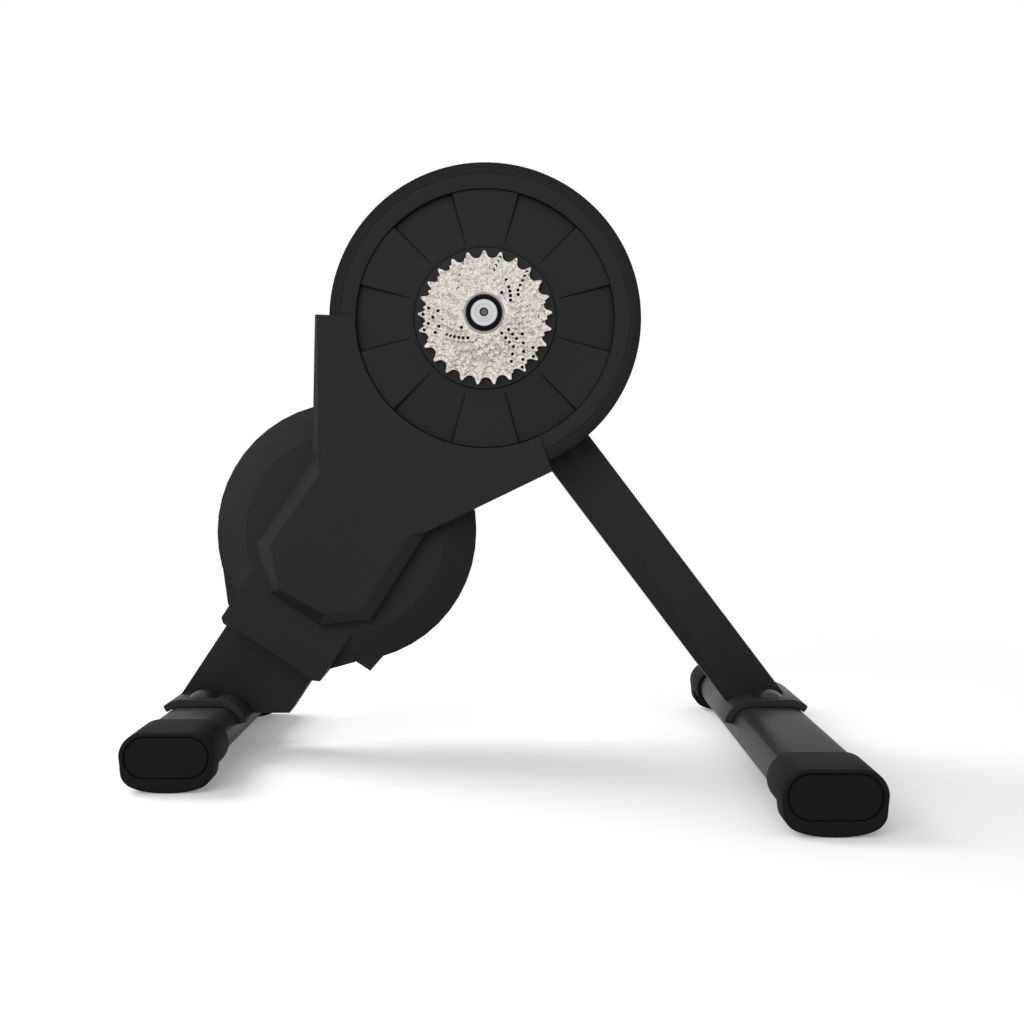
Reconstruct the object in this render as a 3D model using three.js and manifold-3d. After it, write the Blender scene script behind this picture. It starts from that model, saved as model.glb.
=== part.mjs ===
// A direct drive bike trainer: the bike's rear wheel comes off and its dropouts clamp on this axle.
// Millimetres, +Z up, origin on the floor below the axle. +X is the front of the bike, -Y its drive side.
import * as THREE from 'three';
import { mergeVertices } from 'three/addons/utils/BufferGeometryUtils.js';
import Module from 'manifold-3d';

const wasm = await Module();
wasm.setup();

// Clearances, walls and the overrun of every cut
const gap = 0.3;
const overrun = 5;
const coverWall = 3;
const coverEdge = 1.2;

// Axle, made for quick release frames
const axleHeight = 349.3;
const axleRadius = 8.5;
const skewerBoreRadius = 3.1;
const endCapThickness = 2.7;
const endCapRadius = 10.8;
const endCapEdge = 0.4;
const dropoutStubRadius = 4.8;
const dropoutStubLength = 4.5;
const boreChamfer = 0.7;
const sealWidth = 2.6;
const sealThickness = 1.6;

// Cassette
const cogTeeth = [11, 12, 13, 14, 15, 16, 17, 19, 21, 23, 25];
const chainPitch = 12.7;
const chainRollerShare = 0.3126;
const chainTipShare = 0.34;
const cogTurnShare = 0.38;
const cogThickness = 1.6;
const cogSpacing = 3.69;
const cogBoreRadius = 14.7;
const cogCollarThickness = 2.9;
const freehubFlangeThickness = 5.6;
const lockringWidth = 1.6;
const lockringThickness = 1.6;
const cassetteInset = 3.6;
const cassetteClearance = 3.2;

// Round cover of the large pulley, with a recessed face of twelve wedges
const ringRadius = 122.3;
const ringDepth = 35.5;
const ringGrooveInset = 9.1;
const ringGrooveDepth = 0.7;
const ringGrooveWidth = 0.9;
const ringBevel = 0.9;
const ringRimWidth = 20.75;
const recessDepth = 1.8;
const wedgeCount = 12;
const wedgeBorder = 4.6;
const wedgeDepth = 4;
const wedgePlate = 6.4;
const hubDiscRadius = 55.4;
const backPlateThickness = 4;
const backPlateClearance = 0.5;

// Spine: one flat steel box section from the axle down to the rear foot
const shaftDistance = 202.4;
const spineAngle = THREE.MathUtils.degToRad(56.6);
const spineWidth = 82;
const spineThickness = 34;
const spineWall = 3;
const spineTail = 64.6;
const spigotLength = 36;
const hubBossRadius = 24;
const hubBossProud = 3;
const shaftBossRadius = 23;

// Folding front leg and the two plates that hold it
const pivotAlong = 38;
const pivotAcross = 80;
const legWidth = 41.3;
const legWall = 2.5;
const legHollowStart = 45;
const legEndRise = 16;
const clevisThickness = 4.4;
const clevisRadius = 23;
const pivotPinRadius = 6;
const pivotThreadRadius = 5;
const pivotThreadLength = 14;
const knobRadius = 17;
const knobLobe = 2;
const knobLobes = 6;
const knobLength = 18;
const rearLegEndRise = 6.2;

// Foot bars, their end caps and saddles
const footOffset = 226;
const frontFootLead = 5.2;
const barWidth = 61.6;
const barHeight = 32;
const barWall = 2;
const floorClearance = 8.4;
const frontBarLength = 490;
const rearBarLength = 330;
const capTopWall = 1.3;
const capSideWall = 3.3;
const capLength = 57;
const capFace = 6;
const capRimTop = 2.5;
const capRimSide = 3.4;
const capInsetDepth = 2;
const padLength = 24;
const padInset = 0.8;
const padFlatWidth = 16;
const saddleThickness = 6;
const saddleLip = 3;
const saddleShoulder = 4.2;
const boltInset = 16;
const boltClearance = 4.5;
const boltHeadRadius = 11.5;
const boltHeadHeight = 5.4;
const boltShankRadius = 5;
const boltShankLength = 13;

// Belt drive
const largePulleyRadius = 94;
const smallPulleyRadius = 17;
const beltThickness = 3;
const beltWidth = 14;
const beltRoom = 4;
const pulleyClearance = 0.9;
const pulleyFlange = 1.1;
const pulleyRimThickness = 7;
const pulleyWeb = 6;
const pulleyHubWall = 8.7;
const idlerRadius = 13;
const idlerDistance = 52.4;
const idlerPinRadius = 4;
const idlerHeadRadius = 6.5;
const idlerHead = 0.8;
const idlerArmThickness = 6;
const idlerArmLength = 46;
const idlerArmWidth = 20;

// Bearings and shafts
const bearingRadius = 15;
const bearingWidth = 7;
const shaftRadius = 8;
const shaftBearingRadius = 16;
const shaftBearingWidth = 9;

// Flywheel, its brake and its round housing in two halves
const flywheelRadius = 92;
const flywheelRimThickness = 19;
const flywheelWidth = 25.5;
const flywheelClearance = 5.5;
const flywheelWeb = 7;
const flywheelHubRadius = 20;
const flywheelRoom = 7;
const flywheelSideRoom = 8.8;
const housingConeInset = 25;
const housingConeDepth = 14;
const housingClearance = 1.4;
const housingFarConeInset = 14.8;
const housingFarConeDepth = 8;
const housingDraft = THREE.MathUtils.degToRad(1.5);
const collarReach = 113.6;
const brakeAirGap = 5;
const brakeCoreRootDepth = 24;
const brakeArms = 4;
const brakeArmWidth = 15;
const brakeCoreThickness = 10;
const brakeCoilWall = 6;
const brakeCoilLength = 17;
const boardLength = 42;
const boardWidth = 60;
const boardThickness = 1.6;
const boardClearance = 15.6;
const boardPartSize = 12;
const inletRadius = 6;
const inletBoreRadius = 3.4;
const inletLength = 9;
const inletWall = 1.5;
const inletDrop = 62;

// Main cover: a bevelled plate over the lower half of the ring, the belt and the front of the housing
const coverProud = 2;
const coverBevelDepth = 13;

// Sides of large, middling and small circles, and steps in each end of an oval
const sidesLarge = 48;
const sidesMedium = 24;
const sidesSmall = 16;
const ovalSteps = 5;
const endSteps = 8;

// The stack along the axle from one dropout to the other, which adds up to the frame's 130 mm
const cassetteWidth = cogSpacing * (cogTeeth.length - 1) + cogThickness;
const hubSpacing = cassetteInset + cassetteWidth + cassetteClearance + ringDepth + backPlateThickness
  + backPlateClearance + clevisThickness + gap + spineThickness + gap + hubBossProud + endCapThickness;
const hubHalf = hubSpacing / 2;
const cassetteNearY = cassetteInset - hubHalf;
const hubDiscY = cassetteNearY + cassetteWidth + cassetteClearance;
const ringFaceY = hubDiscY - gap;
const ringBackY = ringFaceY + ringDepth;
const backPlateNearY = ringBackY + gap;
const backPlateFarY = backPlateNearY + backPlateThickness;
const clevisNearY = backPlateFarY + backPlateClearance;
const spineNearY = clevisNearY + clevisThickness + gap;
const spineFarY = spineNearY + spineThickness;
const spineMidY = spineNearY + spineThickness / 2;
const clevisFarY = spineFarY + gap + clevisThickness;

// Belt, covers and flywheel, set from that stack
const pulleyFarY = ringBackY - pulleyClearance;
const beltFarY = pulleyFarY - pulleyFlange;
const beltNearY = beltFarY - beltWidth;
const pulleyNearY = beltNearY - pulleyFlange;
const coverFaceY = ringFaceY - coverProud;
const coverBaseY = coverFaceY + coverBevelDepth;
const flywheelNearY = spineFarY + flywheelClearance;
const flywheelFarY = flywheelNearY + flywheelWidth;
const housingNearY = pulleyNearY - housingClearance - coverWall;
const housingConeY = housingNearY + housingConeDepth;
const housingSplitY = spineMidY;
const housingFarY = flywheelFarY + flywheelRoom + coverWall;
const housingFarConeY = housingFarY - housingFarConeDepth;
const housingRadius = flywheelRadius + flywheelSideRoom + coverWall;
const housingFlatRadius = housingRadius - housingConeInset;
const housingFarFlatRadius = housingRadius - housingFarConeInset;

// Sizes that follow from the pieces they fit
const sealOuterRadius = endCapRadius + gap + sealWidth;
const lockringRadius = sealOuterRadius + gap + lockringWidth;
const freehubFlangeRadius = cogBoreRadius - gap + freehubFlangeThickness;
const cogCollarRadius = cogBoreRadius + cogCollarThickness;
const ringGrooveRadius = ringRadius - ringGrooveInset;
const recessRadius = ringRadius - ringRimWidth;
const wedgeInnerRadius = hubDiscRadius + wedgeBorder;
const pulleyHubRadius = bearingRadius + gap + pulleyHubWall;
const brakeCoreOuter = flywheelRadius - flywheelRimThickness - brakeAirGap;
const brakeCoreRoot = brakeCoreOuter - brakeCoreRootDepth;
const spineLength = shaftDistance + shaftBossRadius + spineTail;
const collarEnd = shaftDistance + collarReach;
const boardAlong = shaftDistance + shaftBossRadius + boardClearance + boardLength / 2;
const idlerAlong = shaftDistance - idlerDistance;
const capWidth = barWidth + (gap + capSideWall) * 2;
const capHeight = barHeight + (gap + capTopWall) * 2;
const capInsetWidth = capWidth - capRimSide * 2;
const capInsetHeight = capHeight - capRimTop * 2;
const padWidth = capWidth - padInset * 2;
const barCentreHeight = capHeight / 2 + floorClearance;
const legEndHeight = barCentreHeight + legEndRise;
const rearLegEndHeight = barCentreHeight + rearLegEndRise;
const saddleLipHeight = barCentreHeight + saddleLip;
const saddleOuterReach = barWidth / 2 - saddleShoulder;
const boltNearY = spineNearY - boltClearance - boltHeadRadius;
const boltFarY = spineFarY + boltClearance + boltHeadRadius;

// Places in the side view: both feet stand as far from the axle, and the front leg leans to reach its own
const halfTurn = Math.PI;
const turn = halfTurn * 2;
const axle = new THREE.Vector2(0, axleHeight);
const alongSpine = new THREE.Vector2(-Math.cos(spineAngle), -Math.sin(spineAngle));
const acrossSpine = new THREE.Vector2(Math.sin(spineAngle), -Math.cos(spineAngle));
const spinePoint = (along, across) => axle.clone()
  .addScaledVector(alongSpine, along)
  .addScaledVector(acrossSpine, across);
const shaft = spinePoint(shaftDistance, 0);
const pivot = spinePoint(pivotAlong, pivotAcross);
const legAngle = Math.atan2(pivot.y - legEndHeight, footOffset - frontFootLead - pivot.x);
const alongLeg = new THREE.Vector2(Math.cos(legAngle), -Math.sin(legAngle));
const acrossLeg = new THREE.Vector2(Math.sin(legAngle), Math.cos(legAngle));
const legPoint = (along, across) => pivot.clone()
  .addScaledVector(alongLeg, along)
  .addScaledVector(acrossLeg, across);

// Materials
const finish = (color, roughness, metalness) => new THREE.MeshStandardMaterial({ color, roughness, metalness });
const blackPlastic = finish('#2c2c2c', 0.6, 0);
const blackPaint = finish('#262626', 0.55, 0.1);
const satinPaint = finish('#2e2e2e', 0.35, 0.2);
const blackRubber = finish('#202020', 0.8, 0);
const beltRubber = finish('#181818', 0.85, 0);
const silverSteel = finish('#d6cdc4', 0.3, 1);
const plainSteel = finish('#8f9194', 0.4, 1);
const aluminium = finish('#b9babd', 0.4, 1);
const castIron = finish('#55575a', 0.6, 0.8);
const copper = finish('#a5602f', 0.4, 0.9);
const boardGreen = finish('#1f4a30', 0.5, 0);

const trainer = new THREE.Group();

function add(name, geometry, material) {
  const mesh = new THREE.Mesh(geometry, material);
  mesh.name = name;
  trainer.add(mesh);
  return mesh;
}

// A geometry reduced to shared corners, without the flat triangles that a pole leaves
function welded(geometry) {
  const bare = new THREE.BufferGeometry();
  bare.setAttribute('position', geometry.getAttribute('position'));
  bare.setIndex(geometry.getIndex());
  const merged = mergeVertices(bare);
  const kept = [];
  const index = merged.getIndex().array;
  for (let i = 0; i < index.length; i += 3) {
    const [a, b, c] = [index[i], index[i + 1], index[i + 2]];
    if (a !== b && b !== c && a !== c) kept.push(a, b, c);
  }
  merged.setIndex(kept);
  return merged;
}

function solid(geometry) {
  const { position } = welded(geometry).attributes;
  return new wasm.Manifold(new wasm.Mesh({
    numProp: 3,
    vertProperties: new Float32Array(position.array),
    triVerts: new Uint32Array(welded(geometry).getIndex().array),
  }));
}

function geometryOf(manifold) {
  const mesh = manifold.getMesh();
  const geometry = new THREE.BufferGeometry();
  geometry.setAttribute('position', new THREE.BufferAttribute(mesh.vertProperties, 3));
  geometry.setIndex(new THREE.BufferAttribute(mesh.triVerts, 1));
  return geometry;
}

// An outline in X and Z, carried along Y from one depth to the other
function prism(shape, fromY, toY) {
  const geometry = new THREE.ExtrudeGeometry(shape, {
    depth: toY - fromY,
    bevelEnabled: false,
    curveSegments: ovalSteps,
  });
  geometry.rotateX(halfTurn / 2);
  geometry.translate(0, toY, 0);
  return geometry;
}

// A closed profile of [radius, Y] points turned about a Y axis through the centre
function turned(profile, centre, sides = sidesMedium) {
  const points = profile.map(([radius, y]) => new THREE.Vector2(radius, y));
  if (profile[0][0] > 0) points.push(points[0].clone());
  const geometry = new THREE.LatheGeometry(points, sides);
  geometry.translate(centre.x, 0, centre.y);
  return geometry;
}

const ringProfile = (inner, outer, fromY, toY) => [[inner, fromY], [outer, fromY], [outer, toY], [inner, toY]];
const ring = (inner, outer, fromY, toY, centre, sides) =>
  turned(ringProfile(inner, outer, fromY, toY), centre, sides);
const plugProfile = (radius, fromY, toY) => [[0, fromY], [radius, fromY], [radius, toY], [0, toY]];
const plug = (radius, fromY, toY, centre, sides) => turned(plugProfile(radius, fromY, toY), centre, sides);

const polygon = (points) => new THREE.Shape(points);

function obround(width, height, centre) {
  const radius = height / 2;
  const reach = width / 2 - radius;
  const shape = new THREE.Shape();
  shape.absarc(centre.x + reach, centre.y, radius, -halfTurn / 2, halfTurn / 2, false);
  shape.absarc(centre.x - reach, centre.y, radius, halfTurn / 2, halfTurn * 3 / 2, false);
  shape.closePath();
  return shape;
}

// A box between two X, two Z and two Y limits
const block = (fromX, toX, fromZ, toZ, fromY, toY) => solid(prism(polygon([
  new THREE.Vector2(fromX, fromZ), new THREE.Vector2(toX, fromZ), new THREE.Vector2(toX, toZ), new THREE.Vector2(fromX, toZ),
]), fromY, toY));

// A straight bar outline with square ends, in the spine's own directions
const spineBar = (from, to, halfWidth) => polygon([
  spinePoint(from, -halfWidth), spinePoint(from, halfWidth), spinePoint(to, halfWidth), spinePoint(to, -halfWidth),
]);

// Two circles joined by their outer tangents
function capsule(a, b, radiusA, radiusB = radiusA, steps = endSteps) {
  const line = b.clone().sub(a);
  const lean = Math.acos((radiusA - radiusB) / line.length());
  const heading = line.angle();
  const points = [];
  const arc = (centre, radius, from, to) => {
    for (let i = 0; i <= steps; i += 1) {
      const angle = from + (to - from) * i / steps;
      points.push(new THREE.Vector2(Math.cos(angle), Math.sin(angle)).multiplyScalar(radius).add(centre));
    }
  };
  arc(a, radiusA, heading + lean, heading + turn - lean);
  arc(b, radiusB, heading - lean, heading + lean);
  return polygon(points);
}

// Main frame: the spine with its axle boss, flywheel shaft boss and the two plates for the front leg
const spineOutline = capsule(axle, spinePoint(spineLength, 0), spineWidth / 2);
const spineEndCut = spineBar(spineLength, spineLength + spineWidth, spineWidth);

function mainFrame() {
  const hollow = polygon([
    spinePoint(hubBossRadius + spineWall, spineWall - spineWidth / 2),
    spinePoint(hubBossRadius + spineWall, spineWidth / 2 - spineWall),
    spinePoint(spineLength + overrun, spineWidth / 2 - spineWall),
    spinePoint(spineLength + overrun, spineWall - spineWidth / 2),
  ]);
  const clevisOutline = capsule(spinePoint(pivotAlong, 0), pivot, clevisRadius);
  let frame = solid(prism(spineOutline, spineNearY, spineFarY))
    .subtract(solid(prism(spineEndCut, spineNearY - overrun, spineFarY + overrun)))
    .subtract(solid(prism(hollow, spineNearY + spineWall, spineFarY - spineWall)));
  const clevisPlates = [[clevisNearY, spineNearY - gap], [spineFarY + gap, clevisFarY]];
  for (const [near, far] of clevisPlates) frame = frame.add(solid(prism(clevisOutline, near, far)));
  // Weld pads close the gap between each plate and the spine, clear of the leg
  const weldPad = spineBar(pivotAlong - clevisRadius / 2, pivotAlong + clevisRadius / 2, spineWidth / 2 - spineWall);
  frame = frame
    .add(solid(prism(weldPad, clevisNearY + gap, clevisFarY - gap))
      .subtract(solid(prism(weldPad, spineNearY + spineWall, spineFarY - spineWall))))
    .add(solid(plug(hubBossRadius, clevisNearY, clevisFarY - clevisThickness + hubBossProud, axle)))
    .add(solid(plug(shaftBossRadius, spineNearY, flywheelNearY, shaft)));
  const bores = [
    plug(axleRadius + gap, clevisNearY - overrun, clevisFarY + overrun, axle),
    plug(shaftBearingRadius + gap, spineNearY - overrun, flywheelNearY + overrun, shaft),
    plug(pivotPinRadius + gap, clevisNearY - overrun, clevisFarY + overrun, pivot, sidesSmall),
    plug(idlerPinRadius + gap, spineNearY - overrun, spineNearY + spineWall + overrun, idler, sidesSmall),
  ];
  for (const bore of bores) frame = frame.subtract(solid(bore));
  return geometryOf(frame);
}

// Rear leg: the lower end of the spine, with a spigot that slides up inside it
const rearFoot = new THREE.Vector2(-footOffset, barCentreHeight);
const frontFoot = new THREE.Vector2(footOffset, barCentreHeight);
const saddleGrow = (gap + saddleThickness) * 2;
const saddleOutline = (foot, grow = 0) =>
  obround(barWidth + saddleGrow + grow * 2, barHeight + saddleGrow + grow * 2, foot);

function rearLeg() {
  const top = spineLength + gap;
  const bottom = (axleHeight - rearLegEndHeight) / Math.sin(spineAngle) + spineWidth;
  const spigotInset = spineWall + gap;
  const hollowInset = spigotInset + spineWall;
  const cutReach = axleHeight + footOffset;
  const below = block(-cutReach, cutReach, -cutReach, rearLegEndHeight, spineNearY - overrun, spineFarY + overrun);
  const spigot = spineBar(top - spigotLength, top + overrun, spineWidth / 2 - spigotInset);
  const hollow = spineBar(top - spigotLength - overrun, bottom, spineWidth / 2 - hollowInset);
  // The saddle's outline drawn out along the leg, so that no splinter is left beyond its round end
  const saddleCut = wasm.Manifold.hull([rearFoot, rearFoot.clone().addScaledVector(alongSpine, spineWidth)]
    .map((foot) => solid(prism(saddleOutline(foot, gap), spineNearY - overrun, spineFarY + overrun))));
  const leg = solid(prism(spineBar(top, bottom, spineWidth / 2), spineNearY, spineFarY))
    .add(solid(prism(spigot, spineNearY + spigotInset, spineFarY - spigotInset)))
    .subtract(solid(prism(hollow, spineNearY + hollowInset, spineFarY - hollowInset)))
    .subtract(below)
    .subtract(saddleCut);
  return geometryOf(leg);
}

// Front leg: a box section on the pivot pin, coped over its saddle
function frontLeg() {
  const near = spineNearY;
  const far = spineFarY;
  const reach = (pivot.y - barCentreHeight) / Math.sin(legAngle);
  const legBar = (from, to, halfWidth) => polygon([
    legPoint(from, -halfWidth), legPoint(from, halfWidth), legPoint(to, halfWidth), legPoint(to, -halfWidth),
  ]);
  const cutReach = axleHeight + footOffset;
  const below = block(-cutReach, cutReach, -cutReach, legEndHeight, near - overrun, far + overrun);
  const leg = solid(prism(capsule(pivot, legPoint(reach, 0), legWidth / 2), near, far))
    .subtract(solid(prism(legBar(legHollowStart, reach + legWidth, legWidth / 2 - legWall), near + legWall, far - legWall)))
    .subtract(below)
    .subtract(solid(prism(saddleOutline(frontFoot, gap), near - overrun, far + overrun)))
    .subtract(solid(plug(pivotPinRadius + gap, near - overrun, far + overrun, pivot, sidesSmall)));
  return geometryOf(leg);
}

// Feet: an oval bar with a saddle bolted on it and a cap with a pad on each end
const barTop = barCentreHeight + barHeight / 2;
const saddleTop = barTop + gap + saddleThickness;
const boltPlaces = [['drive', boltNearY], ['far', boltFarY]];

// A plain cylinder that stands along Z
function upright(radius, fromZ, toZ, x, y) {
  const geometry = new THREE.CylinderGeometry(radius, radius, toZ - fromZ, sidesSmall);
  geometry.rotateX(halfTurn / 2);
  geometry.translate(x, y, (fromZ + toZ) / 2);
  return geometry;
}

function footBar(foot, length, middleY) {
  const outline = obround(barWidth, barHeight, foot);
  outline.holes.push(new THREE.Path(obround(barWidth - barWall * 2, barHeight - barWall * 2, foot).getPoints(ovalSteps)));
  const inset = capFace + gap;
  let bar = solid(prism(outline, middleY - length / 2 + inset, middleY + length / 2 - inset));
  for (const [, y] of boltPlaces) {
    bar = bar.subtract(solid(upright(boltShankRadius + gap, barCentreHeight, barTop + overrun, foot.x, y)));
  }
  return geometryOf(bar);
}

// The saddle wraps the bar on the side under the trainer and stops at its shoulder on the other
function footSaddle(foot) {
  const near = boltNearY - boltInset;
  const far = boltFarY + boltInset;
  const outward = Math.sign(foot.x);
  const underLip = block(foot.x - barWidth, foot.x + barWidth, 0, saddleLipHeight, near - overrun, far + overrun);
  const shoulder = foot.x + outward * saddleOuterReach;
  const pastShoulder = block(
    Math.min(shoulder, shoulder + outward * barWidth), Math.max(shoulder, shoulder + outward * barWidth),
    0, axleHeight, near - overrun, far + overrun);
  let saddle = solid(prism(saddleOutline(foot), near, far))
    .subtract(solid(prism(obround(barWidth + gap * 2, barHeight + gap * 2, foot), near - overrun, far + overrun)))
    .subtract(underLip)
    .subtract(pastShoulder);
  for (const [, y] of boltPlaces) {
    saddle = saddle.subtract(solid(upright(boltShankRadius + gap, barTop, saddleTop + overrun, foot.x, y)));
  }
  return geometryOf(saddle);
}

// Dome headed bolt, its head a slice of a sphere
function saddleBolt(foot, y) {
  const sphere = (boltHeadRadius ** 2 + boltHeadHeight ** 2) / (boltHeadHeight * 2);
  const steps = sidesSmall / 4;
  const seat = saddleTop + gap;
  const profile = [[0, seat - boltShankLength], [boltShankRadius, seat - boltShankLength], [boltShankRadius, seat]];
  for (let i = 0; i <= steps; i += 1) {
    const radius = boltHeadRadius * (1 - i / steps);
    profile.push([radius, seat + boltHeadHeight - sphere + Math.sqrt(sphere ** 2 - radius ** 2)]);
  }
  const geometry = turned(profile, new THREE.Vector2(0, 0), sidesSmall);
  geometry.rotateX(halfTurn / 2);
  geometry.translate(foot.x, y, 0);
  return geometry;
}

// End cap: an oval sleeve over the bar's end, with a sunk face and a crowned pad below
function endCap(foot, faceY, inward) {
  const between = (a, b, shape) => solid(prism(shape, Math.min(a, b), Math.max(a, b)));
  const padShares = [[1, 0.78], [0.97, 0.46], [0.87, 0.26], [0.73, 0.15]];
  const half = padWidth / 2;
  const right = padShares.map(([x, z]) => new THREE.Vector2(foot.x + half * x, foot.y * z));
  const left = padShares.map(([x, z]) => new THREE.Vector2(foot.x - half * x, foot.y * z)).reverse();
  const flat = [new THREE.Vector2(foot.x + padFlatWidth / 2, 0), new THREE.Vector2(foot.x - padFlatWidth / 2, 0)];
  const pad = polygon([...right, ...flat, ...left]);
  const sleeve = obround(capWidth, capHeight, foot);
  const pocket = obround(barWidth + gap * 2, barHeight + gap * 2, foot);
  const inset = obround(capInsetWidth, capInsetHeight, foot);
  const cap = between(faceY, faceY + inward * capLength, sleeve)
    .add(between(faceY, faceY + inward * padLength, pad))
    .subtract(between(faceY + inward * capFace, faceY + inward * (capLength + overrun), pocket))
    .subtract(between(faceY - inward * overrun, faceY + inward * capInsetDepth, inset));
  return geometryOf(cap);
}

function addFoot(name, foot, length, middleY) {
  add(`${name}_foot_bar`, footBar(foot, length, middleY), satinPaint);
  add(`${name}_saddle`, footSaddle(foot), satinPaint);
  add(`${name}_end_cap_drive`, endCap(foot, middleY - length / 2, 1), blackRubber);
  add(`${name}_end_cap_far`, endCap(foot, middleY + length / 2, -1), blackRubber);
  for (const [side, y] of boltPlaces) add(`${name}_saddle_bolt_${side}`, saddleBolt(foot, y), satinPaint);
}

// Belt and pulleys
const beltLean = Math.acos((largePulleyRadius - smallPulleyRadius) / shaftDistance);
const beltInner = gap;
const beltStrand = largePulleyRadius + beltInner - idlerAlong * Math.cos(beltLean);
const idler = spinePoint(idlerAlong, (beltStrand - idlerRadius - gap) / Math.sin(beltLean));

function driveBelt() {
  const steps = sidesLarge * 3 / 4;
  const outer = capsule(axle, shaft, largePulleyRadius + gap + beltThickness, smallPulleyRadius + gap + beltThickness, steps);
  const inner = capsule(axle, shaft, largePulleyRadius + gap, smallPulleyRadius + gap, steps);
  outer.holes.push(new THREE.Path(inner.getPoints()));
  return prism(outer, beltNearY, beltFarY);
}

const plateBackY = ringFaceY + recessDepth + wedgePlate;
const pulleyBoreRadius = bearingRadius + gap;

function drivePulley() {
  const rimInner = largePulleyRadius - pulleyRimThickness;
  const discBackY = plateBackY + gap * 2;
  return turned([
    [pulleyBoreRadius, hubDiscY],
    [hubDiscRadius, hubDiscY],
    [hubDiscRadius, discBackY],
    [largePulleyRadius - pulleyFlange, pulleyNearY - pulleyFlange],
    [largePulleyRadius, pulleyNearY],
    [largePulleyRadius, pulleyFarY],
    [rimInner, pulleyFarY],
    [rimInner, pulleyNearY - pulleyFlange + pulleyWeb],
    [pulleyHubRadius, discBackY + pulleyWeb],
    [pulleyHubRadius, pulleyFarY],
    [pulleyBoreRadius, pulleyFarY],
  ], axle, sidesLarge);
}

// A sealed ball bearing drawn as one ring
const bearing = (centre, nearY, width, innerRadius, outerRadius) =>
  ring(innerRadius, outerRadius, nearY, nearY + width, centre, sidesMedium);

function addDrive() {
  add('drive_pulley', drivePulley(), blackPaint);
  add('drive_belt', driveBelt(), beltRubber);
  add('hub_bearing_drive', bearing(axle, hubDiscY + gap, bearingWidth, axleRadius + gap, bearingRadius), plainSteel);
  add('hub_bearing_far', bearing(axle, pulleyFarY - bearingWidth, bearingWidth, axleRadius + gap, bearingRadius), plainSteel);
  add('motor_pulley', ring(shaftRadius + gap, smallPulleyRadius, pulleyNearY, pulleyFarY, shaft, sidesMedium), aluminium);
  add('idler_pulley', ring(idlerPinRadius + gap, idlerRadius, pulleyNearY, pulleyFarY, idler, sidesSmall), plainSteel);
  const armNearY = spineNearY - gap - idlerArmThickness;
  const armEnd = idler.clone().addScaledVector(alongSpine, idlerArmLength);
  const arm = solid(prism(capsule(idler, armEnd, idlerArmWidth / 2), armNearY, spineNearY - gap))
    .subtract(solid(plug(idlerPinRadius + gap, armNearY - overrun, spineNearY + overrun, idler, sidesSmall)));
  add('idler_arm', geometryOf(arm), plainSteel);
  add('idler_bolt', turned([
    [0, pulleyNearY - gap - idlerHead],
    [idlerHeadRadius, pulleyNearY - gap - idlerHead],
    [idlerHeadRadius, pulleyNearY - gap],
    [idlerPinRadius, pulleyNearY - gap],
    [idlerPinRadius, spineNearY + spineWall],
    [0, spineNearY + spineWall],
  ], idler, sidesSmall), plainSteel);
}

// Main cover outlines, as shares of the distance from the axle to the flywheel shaft
const coverFaceShares = [
  [-0.651, 0.013], [-0.643, -0.607], [-0.831, -0.881], [-0.797, -1.048], [-0.619, -1.145], [-0.477, -1.126],
  [-0.296, -0.842], [-0.227, -0.827], [-0.038, -0.737], [0.258, -0.592],
];
const coverBaseShares = [
  [-0.666, 0.017], [-0.676, -0.539], [-0.897, -0.880], [-0.841, -1.068], [-0.646, -1.195], [-0.449, -1.172],
  [-0.234, -0.836], [-0.227, -0.829], [-0.038, -0.739], [0.262, -0.594],
];
const coverArcEndAngle = THREE.MathUtils.degToRad(-65.4);
const coverArcStartAngle = THREE.MathUtils.degToRad(-180.6);
const coverArcSteps = 36;

function coverOutline(shares, arcGrow = 0) {
  const points = shares.map(([x, z]) => new THREE.Vector2(x, z).multiplyScalar(shaftDistance).add(axle));
  for (let i = 0; i <= coverArcSteps; i += 1) {
    const angle = coverArcEndAngle + (coverArcStartAngle - coverArcEndAngle) * i / coverArcSteps;
    points.push(new THREE.Vector2(Math.cos(angle), Math.sin(angle)).multiplyScalar(recessRadius + arcGrow).add(axle));
  }
  return points;
}

// The same outline drawn in by a wall's thickness, each side moved along its normal
function drawnIn(points, distance) {
  const count = points.length;
  const side = (i) => {
    const a = points[i % count];
    const b = points[(i + 1) % count];
    const direction = b.clone().sub(a).normalize();
    const normal = new THREE.Vector2(-direction.y, direction.x);
    return { start: a.clone().addScaledVector(normal, distance), direction };
  };
  return points.map((_, i) => {
    const before = side(i + count - 1);
    const after = side(i);
    const cross = before.direction.cross(after.direction);
    const between = after.start.clone().sub(before.start);
    const reach = between.cross(after.direction) / cross;
    return before.start.clone().addScaledVector(before.direction, reach);
  });
}

// A solid through outlines of as many points, each at its own Y, from the front one back
function lofted(rows) {
  const count = rows[0][0].length;
  const last = (rows.length - 1) * count;
  const positions = [];
  for (const [points, y] of rows) for (const point of points) positions.push(point.x, y, point.y);
  const index = [];
  for (const [a, b, c] of THREE.ShapeUtils.triangulateShape(rows[0][0], [])) index.push(a, b, c);
  for (const [a, b, c] of THREE.ShapeUtils.triangulateShape(rows[rows.length - 1][0], [])) {
    index.push(last + c, last + b, last + a);
  }
  for (let start = 0; start < last; start += count) {
    for (let i = 0; i < count; i += 1) {
      const next = (i + 1) % count;
      index.push(start + i, start + count + i, start + next, start + next, start + count + i, start + count + next);
    }
  }
  const geometry = new THREE.BufferGeometry();
  geometry.setAttribute('position', new THREE.Float32BufferAttribute(positions, 3));
  geometry.setIndex(index);
  return geometry;
}

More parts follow.
